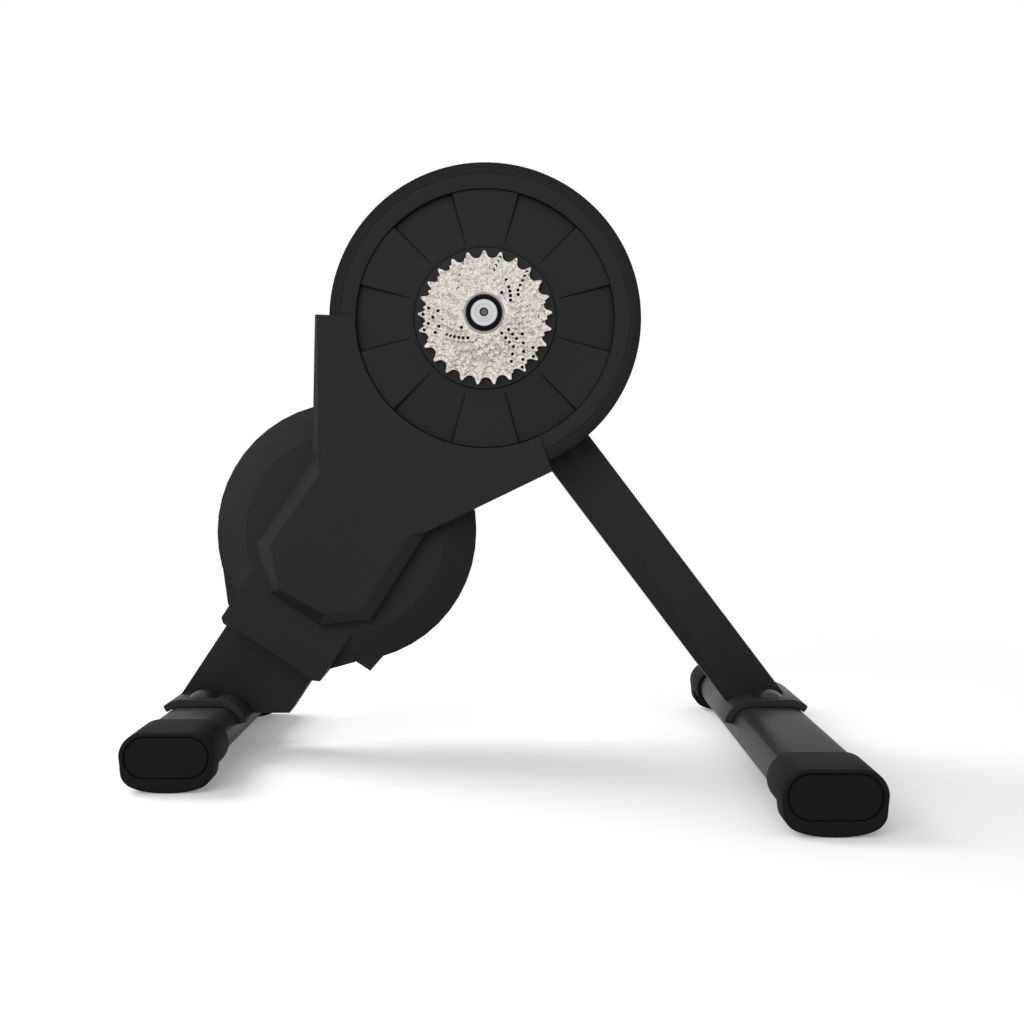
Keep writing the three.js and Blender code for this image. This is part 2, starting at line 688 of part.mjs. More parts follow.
// Housing halves: a round shell about the flywheel, faired into a collar that wraps the rear leg
const fairingShares = [[-0.997, 0.015], [-0.916, -0.557], [-0.62, -0.92], [-0.135, -1.059], [0.066, -1.003], [0, 0]];
const tabShares = [[0.066, -0.9], [0.066, -0.998], [0.181, -1.074], [0.282, -0.958], [0.282, -0.85]];
const aboutShaft = (shares) => polygon(shares
  .map(([x, z]) => new THREE.Vector2(x, z).multiplyScalar(housingRadius).add(shaft)));

// Collar corners, as shares of its distance from the axle and of the spine's width
const collarShares = [[0.6, -0.5472], [0.988, -0.5472], [1, -0.501], [1, 0.4894], [0.986, 0.5896], [0.6, 0.5896]];
const collarOutline = (grow = 0) => polygon(drawnIn(collarShares
  .map(([along, across]) => spinePoint(along * collarEnd, across * spineWidth)), -grow));
const housingRadiusAt = (y) => housingRadius - (y - housingConeY) * Math.tan(housingDraft);

function nearHousingOuter(grow = 0) {
  const near = housingNearY - grow;
  return solid(turned([
    [0, near], [housingFlatRadius + grow, near], [housingRadius + grow, housingConeY - grow],
    [housingRadiusAt(housingSplitY) + grow, housingSplitY - gap / 2], [0, housingSplitY - gap / 2],
  ], shaft, sidesLarge))
    .add(solid(prism(collarOutline(grow), near, housingSplitY - gap / 2)));
}

const fairing = (fromY, toY) => solid(prism(aboutShaft(fairingShares), fromY, toY));
const tab = (fromY, toY) => solid(prism(aboutShaft(tabShares), fromY, toY));
const spineClearance = () => {
  const room = spineBar(-spineWidth, collarEnd + overrun, spineWidth / 2 + gap);
  return solid(prism(room, spineNearY - gap, spineFarY + gap));
};
const ringClearance = (fromY, toY) => solid(plug(ringRadius + gap, fromY, toY, axle, sidesLarge));
const beltTunnel = (fromY, toY) => {
  const room = gap + beltThickness + beltRoom;
  const outline = capsule(axle, shaft, largePulleyRadius + room, smallPulleyRadius + room, sidesLarge / 2);
  return solid(prism(outline, fromY, toY));
};
const collarHollow = (fromY, toY) => solid(prism(collarOutline(-coverWall), fromY, toY));

function nearHousing() {
  const innerY = housingNearY + coverWall;
  const splitY = housingSplitY - gap / 2;
  const hollow = solid(turned([
    [0, innerY], [housingFlatRadius - coverEdge, innerY], [housingRadius - coverWall, housingConeY + coverEdge],
    [housingRadiusAt(splitY) - coverWall, splitY + overrun], [0, splitY + overrun],
  ], shaft, sidesLarge));
  const shell = nearHousingOuter()
    .add(fairing(housingConeY - coverEdge, splitY))
    .add(tab(housingConeY, splitY))
    .subtract(hollow)
    .subtract(collarHollow(innerY, splitY + overrun))
    .subtract(spineClearance())
    .subtract(beltTunnel(beltNearY - gap, backPlateNearY + gap))
    .subtract(ringClearance(housingNearY - overrun, housingFarY));
  return geometryOf(shell);
}

function farHousing() {
  const splitY = housingSplitY + gap / 2;
  const innerY = housingFarY - coverWall;
  const collarFarY = spineFarY + gap + coverWall;
  const outer = solid(turned([
    [0, splitY], [housingRadiusAt(splitY), splitY], [housingRadiusAt(housingFarConeY), housingFarConeY],
    [housingFarFlatRadius, housingFarY], [0, housingFarY],
  ], shaft, sidesLarge))
    .add(solid(prism(collarOutline(), splitY, collarFarY)))
    .add(fairing(splitY, collarFarY))
    .add(tab(splitY, collarFarY));
  const hollow = solid(turned([
    [0, splitY - overrun], [housingRadiusAt(splitY) - coverWall, splitY - overrun],
    [housingRadiusAt(housingFarConeY) - coverWall, housingFarConeY - coverEdge],
    [housingFarFlatRadius - coverEdge, innerY], [0, innerY],
  ], shaft, sidesLarge));
  const shell = outer
    .subtract(hollow)
    .subtract(collarHollow(splitY - overrun, spineFarY + gap))
    .subtract(spineClearance())
    .subtract(ringClearance(housingNearY, spineFarY + overrun))
    .subtract(solid(plug(inletRadius + gap, innerY - overrun, housingFarY + overrun, inlet, sidesSmall)));
  return geometryOf(shell);
}

// Power inlet in the housing's far face: a socket for a barrel plug, closed at its inner end
const inlet = new THREE.Vector2(shaft.x, shaft.y - inletDrop);

const powerInlet = () => turned([
  [0, housingFarY - inletLength],
  [inletRadius, housingFarY - inletLength],
  [inletRadius, housingFarY + gap],
  [inletRadius + inletWall, housingFarY + gap],
  [inletRadius + inletWall, housingFarY + inletWall],
  [inletBoreRadius, housingFarY + inletWall],
  [inletBoreRadius, housingFarY - inletLength + inletWall],
  [0, housingFarY - inletLength + inletWall],
], inlet, sidesSmall);

// Round pulley cover: a drum with a flat rim, a groove and a recessed face of wedges
function pulleyCover() {
  const floorY = ringFaceY + recessDepth;
  const wallRadius = ringRadius - coverWall;
  const body = solid(turned([
    [hubDiscRadius + gap, floorY],
    [recessRadius, floorY],
    [recessRadius, ringFaceY],
    [ringGrooveRadius, ringFaceY],
    [ringGrooveRadius, ringFaceY + ringGrooveDepth],
    [ringGrooveRadius + ringGrooveWidth, ringFaceY + ringGrooveDepth],
    [ringGrooveRadius + ringGrooveWidth, ringFaceY],
    [ringRadius - ringBevel, ringFaceY],
    [ringRadius, ringFaceY + ringBevel],
    [ringRadius, ringBackY],
    [wallRadius, ringBackY],
    [wallRadius, plateBackY],
    [hubDiscRadius + gap, plateBackY],
  ], axle, sidesLarge));
  let cover = body;
  for (let i = 0; i < wedgeCount; i += 2) cover = cover.subtract(solid(wedgePocket(turn * i / wedgeCount, floorY)));
  const underCover = drawnIn(coverOutline(coverFaceShares, gap), -gap * 2);
  return geometryOf(cover
    .subtract(solid(prism(polygon(underCover), ringFaceY - overrun, coverFaceY + coverWall + gap)))
    .subtract(beltTunnel(beltNearY - gap, ringBackY + overrun)));
}

// One wedge, level with the face near the hub and deepest at the recess wall
function wedgePocket(middle, floorY) {
  const halfAngle = turn / wedgeCount / 2;
  const steps = sidesLarge / wedgeCount;
  const slopeEnd = ringFaceY - overrun;
  const inner = [];
  const outer = [];
  for (let i = 0; i <= steps; i += 1) {
    const angle = middle - halfAngle + halfAngle * 2 * i / steps;
    const ray = new THREE.Vector2(Math.cos(angle), Math.sin(angle));
    inner.push(ray.clone().multiplyScalar(wedgeInnerRadius).add(axle));
    outer.push(ray.clone().multiplyScalar(recessRadius).add(axle));
  }
  const positions = [];
  const rows = [[inner, slopeEnd], [outer, slopeEnd], [outer, floorY + wedgeDepth], [inner, floorY]];
  for (const [points, y] of rows) for (const point of points) positions.push(point.x, y, point.y);
  const row = steps + 1;
  const index = [];
  for (let side = 0; side < rows.length; side += 1) {
    const next = (side + 1) % rows.length;
    for (let i = 0; i < steps; i += 1) {
      const [a, b, c, d] = [side * row + i, side * row + i + 1, next * row + i, next * row + i + 1];
      index.push(a, c, b, b, c, d);
    }
  }
  for (const end of [0, steps]) {
    const corners = rows.map((_, side) => side * row + end);
    const face = [corners[0], corners[1], corners[2], corners[0], corners[2], corners[3]];
    index.push(...(end === 0 ? face.reverse() : face));
  }
  const geometry = new THREE.BufferGeometry();
  geometry.setAttribute('position', new THREE.Float32BufferAttribute(positions, 3));
  geometry.setIndex(index);
  return geometry;
}

// Main cover: its bevelled face, walls down to the back plate, and a hollow behind for the belt
function mainCover() {
  const face = coverOutline(coverFaceShares, gap);
  const base = coverOutline(coverBaseShares, gap);
  const innerFace = drawnIn(face, coverWall);
  const innerBase = drawnIn(base, coverWall);
  const hollow = [[innerFace, coverFaceY + coverWall], [innerBase, coverBaseY], [innerBase, ringBackY + overrun]];
  const shell = solid(lofted([[face, coverFaceY], [base, coverBaseY], [base, ringBackY]]))
    .subtract(solid(lofted(hollow)))
    .subtract(ringClearance(coverFaceY + coverWall, ringBackY + overrun))
    .subtract(nearHousingOuter(gap))
    .subtract(beltTunnel(beltNearY - gap, ringBackY + overrun));
  return geometryOf(shell.decompose().sort((a, b) => b.volume() - a.volume())[0]);
}

// Back plate: closes the round cover and the neck behind the main cover
function backPlate() {
  const neck = solid(prism(polygon(coverOutline(coverBaseShares, -recessRadius / 2)), backPlateNearY, backPlateFarY));
  const plate = solid(plug(ringRadius, backPlateNearY, backPlateFarY, axle, sidesLarge))
    .add(neck)
    .subtract(nearHousingOuter(gap))
    .subtract(solid(plug(hubBossRadius + gap, backPlateNearY - overrun, backPlateFarY + overrun, axle)));
  return geometryOf(plate.decompose().sort((a, b) => b.volume() - a.volume())[0]);
}

// Flywheel on its shaft, and the brake that stands inside it
function flywheel() {
  const rimInner = flywheelRadius - flywheelRimThickness;
  const webY = flywheelFarY - flywheelWeb;
  return turned([
    [shaftRadius + gap, webY],
    [flywheelHubRadius, webY],
    [rimInner, webY],
    [rimInner, flywheelNearY],
    [flywheelRadius, flywheelNearY],
    [flywheelRadius, flywheelFarY],
    [shaftRadius + gap, flywheelFarY],
  ], shaft, sidesLarge);
}

const coreNearY = spineFarY + gap;
const coreFarY = coreNearY + brakeCoreThickness;
const brakeAngle = (i) => turn * i / brakeArms + spineAngle;
const armBar = (i, from, to, halfWidth) => {
  const ray = new THREE.Vector2(Math.cos(brakeAngle(i)), Math.sin(brakeAngle(i)));
  const square = new THREE.Vector2(-ray.y, ray.x);
  const corner = (reach, across) => shaft.clone().addScaledVector(ray, reach).addScaledVector(square, across);
  return polygon([corner(from, -halfWidth), corner(to, -halfWidth), corner(to, halfWidth), corner(from, halfWidth)]);
};

function brakeCore() {
  let core = solid(plug(brakeCoreRoot, coreNearY, coreFarY, shaft));
  for (let i = 0; i < brakeArms; i += 1) {
    core = core.add(solid(prism(armBar(i, 0, brakeCoreOuter, brakeArmWidth / 2), coreNearY, coreFarY)));
  }
  return geometryOf(core.subtract(solid(plug(shaftBossRadius + gap, coreNearY - overrun, coreFarY + overrun, shaft))));
}

function brakeCoil(i) {
  const from = brakeCoreOuter - brakeCoilLength;
  const halfArm = brakeArmWidth / 2;
  const outer = armBar(i, from, brakeCoreOuter, halfArm + brakeCoilWall);
  const inner = armBar(i, from - overrun, brakeCoreOuter + overrun, halfArm + gap);
  return geometryOf(solid(prism(outer, coreNearY, coreFarY + brakeCoilWall))
    .subtract(solid(prism(inner, coreNearY - overrun, coreFarY + gap))));
}

// Circuit board with three tall parts, inside the collar against the spine
function circuitBoard() {
  const near = spineNearY - gap - boardThickness;
  const plate = spineBar(boardAlong - boardLength / 2, boardAlong + boardLength / 2, boardWidth / 2);
  let board = solid(prism(plate, near, near + boardThickness));
  for (const across of [-1, 0, 1]) {
    const centre = across * boardWidth / 3;
    const part = polygon([
      spinePoint(boardAlong, centre - boardPartSize / 2), spinePoint(boardAlong, centre + boardPartSize / 2),
      spinePoint(boardAlong + boardPartSize, centre + boardPartSize / 2),
      spinePoint(boardAlong + boardPartSize, centre - boardPartSize / 2),
    ]);
    board = board.add(solid(prism(part, near - boardPartSize, near + boardThickness / 2)));
  }
  return geometryOf(board);
}

// Cassette: each cog is a toothed plate with a collar that spaces it from the next smaller one
function cog(teeth, nearY, lead) {
  const pitchRadius = chainPitch / 2 / Math.sin(halfTurn / teeth);
  const rootRadius = pitchRadius - chainPitch * chainRollerShare;
  const tipRadius = chainPitch / 2 * (chainTipShare + 1 / Math.tan(halfTurn / teeth));
  const toothShares = [[0.18, rootRadius], [0.42, tipRadius], [0.58, tipRadius], [0.82, rootRadius]];
  const shape = new THREE.Shape();
  for (let tooth = 0; tooth < teeth; tooth += 1) {
    for (const [share, radius] of toothShares) {
      const angle = turn * (tooth + share + lead) / teeth;
      const [x, z] = [axle.x + radius * Math.cos(angle), axle.y + radius * Math.sin(angle)];
      if (shape.curves.length || tooth || share !== toothShares[0][0]) shape.lineTo(x, z);
      else shape.moveTo(x, z);
    }
  }
  shape.closePath();
  const plate = solid(prism(shape, nearY, nearY + cogThickness));
  const collarFar = nearY + cogSpacing - gap;
  const blank = teeth === Math.max(...cogTeeth)
    ? plate
    : plate.add(solid(plug(cogCollarRadius, nearY + cogThickness / 2, collarFar, axle, sidesMedium)));
  return geometryOf(blank.subtract(solid(plug(cogBoreRadius, nearY - overrun, nearY + cogSpacing + overrun, axle))));
}

function addCassette() {
  cogTeeth.forEach((teeth, i) => add(`cog_${teeth}`, cog(teeth, cassetteNearY + cogSpacing * i, cogTurnShare * i), silverSteel));
  const cassetteFarY = cassetteNearY + cassetteWidth;
  const bodyRadius = cogBoreRadius - gap;
  const endY = hubDiscY - gap;
  add('freehub_body', turned([
    [axleRadius + gap, cassetteNearY],
    [bodyRadius, cassetteNearY],
    [bodyRadius, cassetteFarY + gap],
    [freehubFlangeRadius, cassetteFarY + gap],
    [freehubFlangeRadius, endY],
    [axleRadius + gap, endY],
  ], axle), plainSteel);
  const lockringFarY = cassetteNearY - gap;
  add('lockring', ring(sealOuterRadius + gap, lockringRadius, lockringFarY - lockringThickness, lockringFarY, axle), silverSteel);
}

// Axle with its end caps and the seal between the drive side cap and the lockring
function addAxle() {
  const stubY = hubHalf - endCapThickness - gap;
  add('axle', ring(skewerBoreRadius, axleRadius, -stubY, stubY, axle), plainSteel);
  const sides = [['drive', -1], ['far', 1]];
  for (const [side, sign] of sides) {
    const profile = [
      [skewerBoreRadius, hubHalf - endCapThickness],
      [endCapRadius, hubHalf - endCapThickness],
      [endCapRadius, hubHalf - endCapEdge],
      [endCapRadius - endCapEdge, hubHalf],
      [dropoutStubRadius, hubHalf],
      [dropoutStubRadius, hubHalf + dropoutStubLength],
      [skewerBoreRadius + boreChamfer, hubHalf + dropoutStubLength],
      [skewerBoreRadius, hubHalf + dropoutStubLength - boreChamfer],
    ].map(([radius, y]) => [radius, y * sign]);
    add(`axle_end_cap_${side}`, turned(sign > 0 ? profile : profile.reverse(), axle), aluminium);
  }
  const sealY = cassetteNearY - gap;
  add('axle_seal', ring(endCapRadius + gap, sealOuterRadius, sealY - sealThickness, sealY, axle), beltRubber);
}

// Pivot pin of the front leg and the knob that clamps it
function addPivot() {
  const threadStart = clevisFarY;
  add('pivot_pin', turned([
    [0, clevisNearY], [pivotPinRadius, clevisNearY], [pivotPinRadius, threadStart],
    [pivotThreadRadius, threadStart], [pivotThreadRadius, threadStart + pivotThreadLength], [0, threadStart + pivotThreadLength],
  ], pivot, sidesSmall), plainSteel);
  const outline = new THREE.Shape();
  const steps = knobLobes * 6;
  for (let i = 0; i < steps; i += 1) {
    const angle = turn * i / steps;
    const radius = knobRadius + knobLobe * Math.cos(knobLobes * angle);
    const [x, z] = [pivot.x + radius * Math.cos(angle), pivot.y + radius * Math.sin(angle)];
    if (i) outline.lineTo(x, z);
    else outline.moveTo(x, z);
  }
  outline.closePath();
  const knobNearY = clevisFarY + gap;
  const knob = solid(prism(outline, knobNearY, knobNearY + knobLength))
    .subtract(solid(plug(pivotThreadRadius + gap, knobNearY - overrun, threadStart + pivotThreadLength + gap, pivot, sidesSmall)));
  add('leg_knob', geometryOf(knob), blackPlastic);
}

add('main_frame', mainFrame(), blackPaint);
add('rear_leg', rearLeg(), blackPaint);
add('front_leg', frontLeg(), blackPaint);
addFoot('front', frontFoot, frontBarLength, 0);
addFoot('rear', rearFoot, rearBarLength, spineMidY);
addAxle();
addPivot();
addDrive();
addCassette();
add('pulley_cover', pulleyCover(), blackPlastic);
add('pulley_back_plate', backPlate(), blackPlastic);
add('main_cover', mainCover(), blackPlastic);
add('flywheel_housing_drive', nearHousing(), blackPlastic);
add('flywheel_housing_far', farHousing(), blackPlastic);
add('flywheel', flywheel(), castIron);
const shaftEndY = pulleyNearY;
add('flywheel_shaft', plug(shaftRadius, shaftEndY, flywheelFarY + gap, shaft, sidesSmall), plainSteel);
const shaftBearings = [['drive', spineNearY], ['far', flywheelNearY - shaftBearingWidth - gap]];
for (const [side, nearY] of shaftBearings) {
  const ringGeometry = bearing(shaft, nearY, shaftBearingWidth, shaftRadius + gap, shaftBearingRadius);
  add(`shaft_bearing_${side}`, ringGeometry, plainSteel);
}
add('brake_core', brakeCore(), castIron);
for (let i = 0; i < brakeArms; i += 1) add(`brake_coil_${i + 1}`, brakeCoil(i), copper);
add('circuit_board', circuitBoard(), boardGreen);
add('power_inlet', powerInlet(), blackPlastic);

export default trainer;
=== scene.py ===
import bmesh
import bpy
import numpy as np
from mathutils.geometry import tessellate_polygon
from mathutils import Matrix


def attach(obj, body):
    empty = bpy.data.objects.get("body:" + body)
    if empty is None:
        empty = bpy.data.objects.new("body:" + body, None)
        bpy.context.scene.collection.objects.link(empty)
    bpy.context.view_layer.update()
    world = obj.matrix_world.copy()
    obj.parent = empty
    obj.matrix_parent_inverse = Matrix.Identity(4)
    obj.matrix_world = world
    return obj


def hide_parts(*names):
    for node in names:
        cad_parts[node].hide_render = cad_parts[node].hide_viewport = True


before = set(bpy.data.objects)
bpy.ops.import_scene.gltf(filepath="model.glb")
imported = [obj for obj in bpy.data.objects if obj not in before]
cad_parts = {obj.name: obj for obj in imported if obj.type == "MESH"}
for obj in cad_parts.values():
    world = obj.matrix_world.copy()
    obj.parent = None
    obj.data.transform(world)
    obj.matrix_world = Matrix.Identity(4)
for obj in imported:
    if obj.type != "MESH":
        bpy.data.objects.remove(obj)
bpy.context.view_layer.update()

mm = 0.001
scene = bpy.context.scene

# The camera stands 1.18 m from the bike's middle plane on its drive side, level, just above the flywheel.
# Its small shift keeps the trainer's place in the frame while every upright edge stays upright.
eye = (22.9, -1178.0, 242.0)
picture_side = 1024.0
lens = bpy.data.cameras.new("camera")
lens.sensor_width = 36.0
lens.lens = 52.0
lens.shift_x = -2.4 / picture_side
lens.shift_y = -57.0 / picture_side
camera = bpy.data.objects.new("camera", lens)
camera.location = [c * mm for c in eye]
camera.rotation_euler = (np.pi / 2.0, 0.0, 0.0)
scene.collection.objects.link(camera)
scene.camera = camera

# Foot bars: two oval steel tubes, satin black powder coat, cut square and pushed into rubber end caps.
# The front one is 490 mm long over its caps and the rear one 330 mm.
bar_width = 61.6
bar_height = 32.0
bar_wall = 2.0
bar_edge = 0.4
bar_centre = 26.0
bar_steps = 33
foot_reach = 226.0
cap_face = 6.3
crease = 32.0
feet = {
    "front": {"x": foot_reach, "from": -245.0, "to": 245.0, "body": "front_leg"},
    "rear": {"x": -foot_reach, "from": -123.0, "to": 207.0, "body": "stand"},
}


def oval(width, height, per_end):
    """Outline of a bar with round ends, anticlockwise in X and Z: two half circles,
    and points along the straight sides."""
    radius = height / 2.0
    reach = width / 2.0 - radius
    half = np.linspace(-np.pi / 2.0, np.pi / 2.0, per_end)
    right = np.stack([reach + radius * np.cos(half), radius * np.sin(half)], axis=1)
    run = np.linspace(reach, -reach, per_end // 2)[1:-1]
    top = np.stack([run, np.full(len(run), radius)], axis=1)
    return np.concatenate([right, top, -right, -top])


def stacked(outlines, centre_x, centre_z):
    """Rings of an X, Z outline about a centre, each at its own Y."""
    return [np.stack([centre_x + o[:, 0], np.full(len(o), y), centre_z + o[:, 1]], axis=1)
            for o, y in outlines]


def skin(name, rings, body, closed=False, capped=True):
    """Mesh through a stack of rings of as many points: each quad joins neighbours on two rings.
    A closed stack joins its last ring to its first, and a capped one gets a face on each end."""
    rings = np.asarray(rings, float)
    count, sides = rings.shape[:2]
    here = np.arange(count * sides).reshape(count, sides)
    after = np.roll(here, -1, axis=1)
    low, high = (here, np.roll(here, -1, axis=0)) if closed else (here[:-1], here[1:])
    low_after, high_after = (after, np.roll(after, -1, axis=0)) if closed else (after[:-1], after[1:])
    faces = np.stack([low, low_after, high_after, high], axis=-1).reshape(-1, 4).tolist()
    if capped and not closed:
        faces += [here[0, ::-1].tolist(), here[-1].tolist()]
    mesh = bpy.data.meshes.new(name)
    mesh.from_pydata((rings.reshape(-1, 3) * mm).tolist(), [], faces)
    return new_piece(name, mesh, body)


def new_piece(name, mesh, body):
    """Object of the mesh that rides on the body, with faces out and smooth up to the crease angle."""
    piece = bpy.data.objects.new(name, mesh)
    scene.collection.objects.link(piece)
    outward(mesh)
    mesh.shade_smooth()
    mesh.set_sharp_from_angle(angle=np.radians(crease))
    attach(piece, body)
    return piece


def outward(mesh):
    """Turns the faces out where the volume under them comes out negative."""
    bm = bmesh.new()
    bm.from_mesh(mesh)
    bmesh.ops.remove_doubles(bm, verts=bm.verts, dist=1e-7)
    if bm.calc_volume(signed=True) < 0.0:
        bmesh.ops.reverse_faces(bm, faces=bm.faces)
    bm.to_mesh(mesh)
    bm.free()


def linear(red, green, blue):
    """Linear colour of a displayed one, each channel from 0 to 255."""
    shown = np.array([red, green, blue]) / 255.0
    lin = np.where(shown <= 0.04045, shown / 12.92, ((shown + 0.055) / 1.055) ** 2.4)
    return (*lin.tolist(), 1.0)


def add_node(tree, kind, values=None, **settings):
    """New node of the kind with its settings; the values are its inputs' constants, by name or number."""
    node = tree.nodes.new(kind)
    for key, setting in settings.items():
        setattr(node, key, setting)
    for key, value in (values or {}).items():
        node.inputs[key].default_value = value
    return node


def wire(tree, *links):
    """Makes the links, each given as node, output, node, input."""
    for source, output, target, entry in links:
        tree.links.new(source.outputs[output], target.inputs[entry])


def grain_group():
    """Surface grain from two noises in object space: fine cells for the relief, cells and broad clouds
    for the tone. The tone is 1 plus the spread times how far cells and clouds are from their mean."""
    cells_share, mean = 0.35, 0.675
    group = bpy.data.node_groups.new("surface grain", "ShaderNodeTree")
    for name, way in (("Cells per metre", "INPUT"), ("Tone spread", "INPUT"),
                      ("Tone", "OUTPUT"), ("Height", "OUTPUT")):
        group.interface.new_socket(name, in_out=way, socket_type="NodeSocketFloat")
    given, result = add_node(group, "NodeGroupInput"), add_node(group, "NodeGroupOutput")
    place = add_node(group, "ShaderNodeTexCoord")
    fine = add_node(group, "ShaderNodeTexNoise", {"Detail": 3.0})
    broad = add_node(group, "ShaderNodeTexNoise", {"Scale": 22.0, "Detail": 4.0})
    mixed = add_node(group, "ShaderNodeMath", {1: cells_share}, operation="MULTIPLY_ADD")
    centred = add_node(group, "ShaderNodeMath", {1: mean}, operation="SUBTRACT")
    spread = add_node(group, "ShaderNodeMath", {2: 1.0}, operation="MULTIPLY_ADD")
    wire(group, (place, "Object", fine, "Vector"), (place, "Object", broad, "Vector"),
         (given, "Cells per metre", fine, "Scale"), (fine, "Fac", mixed, 0), (broad, "Fac", mixed, 2),
         (mixed, "Value", centred, 0), (centred, "Value", spread, 0), (given, "Tone spread", spread, 1),
         (spread, "Value", result, "Tone"), (fine, "Fac", result, "Height"))
    return group


surface_grain = grain_group()


def coating(name, colour, roughness, cells, relief, tone, gloss=0.3, metal=0.0):
    """Material of one colour whose tone, roughness and relief in mm follow the surface grain."""
    material = bpy.data.materials.new(name)
    material.use_nodes = True
    tree = material.node_tree
    shader = tree.nodes["Principled BSDF"]
    shader.inputs["Metallic"].default_value = metal
    shader.inputs["Specular IOR Level"].default_value = gloss
    grain = add_node(tree, "ShaderNodeGroup", {"Cells per metre": cells, "Tone spread": tone},
                     node_tree=surface_grain)
    tint = add_node(tree, "ShaderNodeVectorMath", {0: colour[:3]}, name="tint", operation="SCALE")
    rough = add_node(tree, "ShaderNodeMath", {1: roughness}, operation="MULTIPLY")
    bump = add_node(tree, "ShaderNodeBump", {"Strength": 1.0, "Distance": relief * mm})
    wire(tree, (grain, "Tone", tint, "Scale"), (tint, "Vector", shader, "Base Color"),
         (grain, "Tone", rough, 0), (rough, "Value", shader, "Roughness"),
         (grain, "Height", bump, "Height"), (bump, "Normal", shader, "Normal"))
    return material


def dress(piece, material):
    """Gives the piece its one material."""
    piece.data.materials.clear()
    piece.data.materials.append(material)


satin_coat = coating("satin powder coat", linear(45, 45, 45), 0.42, 900.0, 0.006, 0.25, gloss=0.07)

for side, foot in feet.items():
    outer = oval(bar_width, bar_height, bar_steps)
    inner = oval(bar_width - bar_wall * 2.0, bar_height - bar_wall * 2.0, bar_steps)
    near, far = foot["from"] + cap_face, foot["to"] - cap_face
    stations = [(outer, near + bar_edge), (outer * 0.99, near),
                (inner * 1.01, near), (inner, near + bar_edge),
                (inner, far - bar_edge), (inner * 1.01, far),
                (outer * 0.99, far), (outer, far - bar_edge)]
    bar = skin(f"{side}_oval_bar", stacked(stations, foot["x"], bar_centre), foot["body"], closed=True)
    dress(bar, satin_coat)
    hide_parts(f"{side}_foot_bar")

# End caps: moulded black rubber, an oval sleeve 57 mm long over each end of a bar, with a sunk face.
# The last 24 mm carries a crowned pad that reaches the floor; it is nearly flat for 16 mm in its middle.
sleeve_width = 68.8
sleeve_height = 35.2
sleeve_length = 57.0
sleeve_lip = 2.4
sunk_width = 61.4
sunk_height = 30.0
sunk_depth = 1.4
sunk_groove = 3.2
sunk_low = 0.4
pad_length = 24.0
pad_rim = 2.2
pad_outline = ((34.4, 26.0), (33.7, 20.3), (32.7, 12.0), (29.3, 6.8), (24.7, 3.9), (17.0, 1.6),
               (8.2, 0.35), (0.0, 0.0))
pocket_slack = 0.3
pocket_floor = 6.0
cap_steps = 41
cap_rubber = coating("moulded rubber", linear(30, 30, 30), 0.7, 2600.0, 0.02, 0.3, gloss=0.04)


def padded_oval():
    """Sleeve outline whose lower half follows the pad: a cubic through the pad's points, whose slope at
    each is half the step between its neighbours, cut into steps of equal length."""
    outline = oval(sleeve_width, sleeve_height, cap_steps)
    lower = outline[:, 1] < -0.01
    side = np.array(pad_outline)
    fine = np.linspace(0.0, len(side) - 1.0, 200)
    slope = np.gradient(side, axis=0)
    low = np.minimum(fine.astype(int), len(side) - 2)
    t = (fine - low)[:, None]
    curve = ((2 * t ** 3 - 3 * t ** 2 + 1) * side[low] + (t ** 3 - 2 * t ** 2 + t) * slope[low]
             + (3 * t ** 2 - 2 * t ** 3) * side[low + 1] + (t ** 3 - t ** 2) * slope[low + 1])
    whole = np.concatenate([curve * [-1.0, 1.0], curve[::-1]]) - [0.0, bar_centre]
    length = np.r_[0.0, np.cumsum(np.linalg.norm(np.diff(whole, axis=0), axis=1))]
    order = np.argsort(np.arctan2(outline[lower, 1], outline[lower, 0]))
    places = np.linspace(0.0, length[-1], lower.sum() + 2)[1:-1]
    moved = np.zeros((lower.sum(), 2))
    moved[order] = np.stack([np.interp(places, length, whole[:, k]) for k in (0, 1)], axis=1)
    outline[lower] = moved
    return outline


def end_cap(name, centre_x, face_y, inward, body):
    """Rings from the pocket's floor out over the sleeve's lip, along it, down the pad's step
    and in over its rounded rim to the sunk face."""
    sleeve = oval(sleeve_width, sleeve_height, cap_steps)
    lip = oval(sleeve_width - sleeve_lip, sleeve_height - sleeve_lip, cap_steps)
    pocket = oval(bar_width + pocket_slack * 2.0, bar_height + pocket_slack * 2.0, cap_steps)
    sunk = oval(sunk_width, sunk_height, cap_steps) - [0.0, sunk_low]
    padded = padded_oval()
    stations = [(pocket * 0.02, pocket_floor), (pocket, pocket_floor), (pocket, sleeve_length - 0.5),
                (lip * 0.975, sleeve_length), (lip, sleeve_length), (sleeve * 0.99, sleeve_length - 0.4),
                (sleeve, sleeve_length - 1.2), (sleeve, pad_length + 0.05),
                (sleeve * 0.2 + padded * 0.8, pad_length), (padded, pad_length - 0.9)]
    for a in np.radians([0.0, 30.0, 60.0, 90.0]):
        scale = 1.0 - (1.0 - np.cos(a)) * pad_rim / (sleeve_height / 2.0) * 0.8
        stations.append((padded * scale, pad_rim * (1.0 - np.sin(a))))
    stations += [(sunk * 1.035, 0.0), (sunk * 1.012, 0.5), (sunk, sunk_groove), (sunk * 0.97, sunk_groove),
                 (sunk * 0.965, sunk_depth + 0.3), (sunk * 0.95, sunk_depth), (sunk * 0.02, sunk_depth)]
    return skin(name, stacked([(o, face_y + inward * y) for o, y in stations], centre_x, bar_centre), body)


for side, foot in feet.items():
    for end, face_y, inward in (("drive", foot["from"], 1.0), ("far", foot["to"], -1.0)):
        cap = end_cap(f"{side}_rubber_cap_{end}", foot["x"], face_y, inward, foot["body"])
        dress(cap, cap_rubber)
        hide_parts(f"{side}_end_cap_{end}")

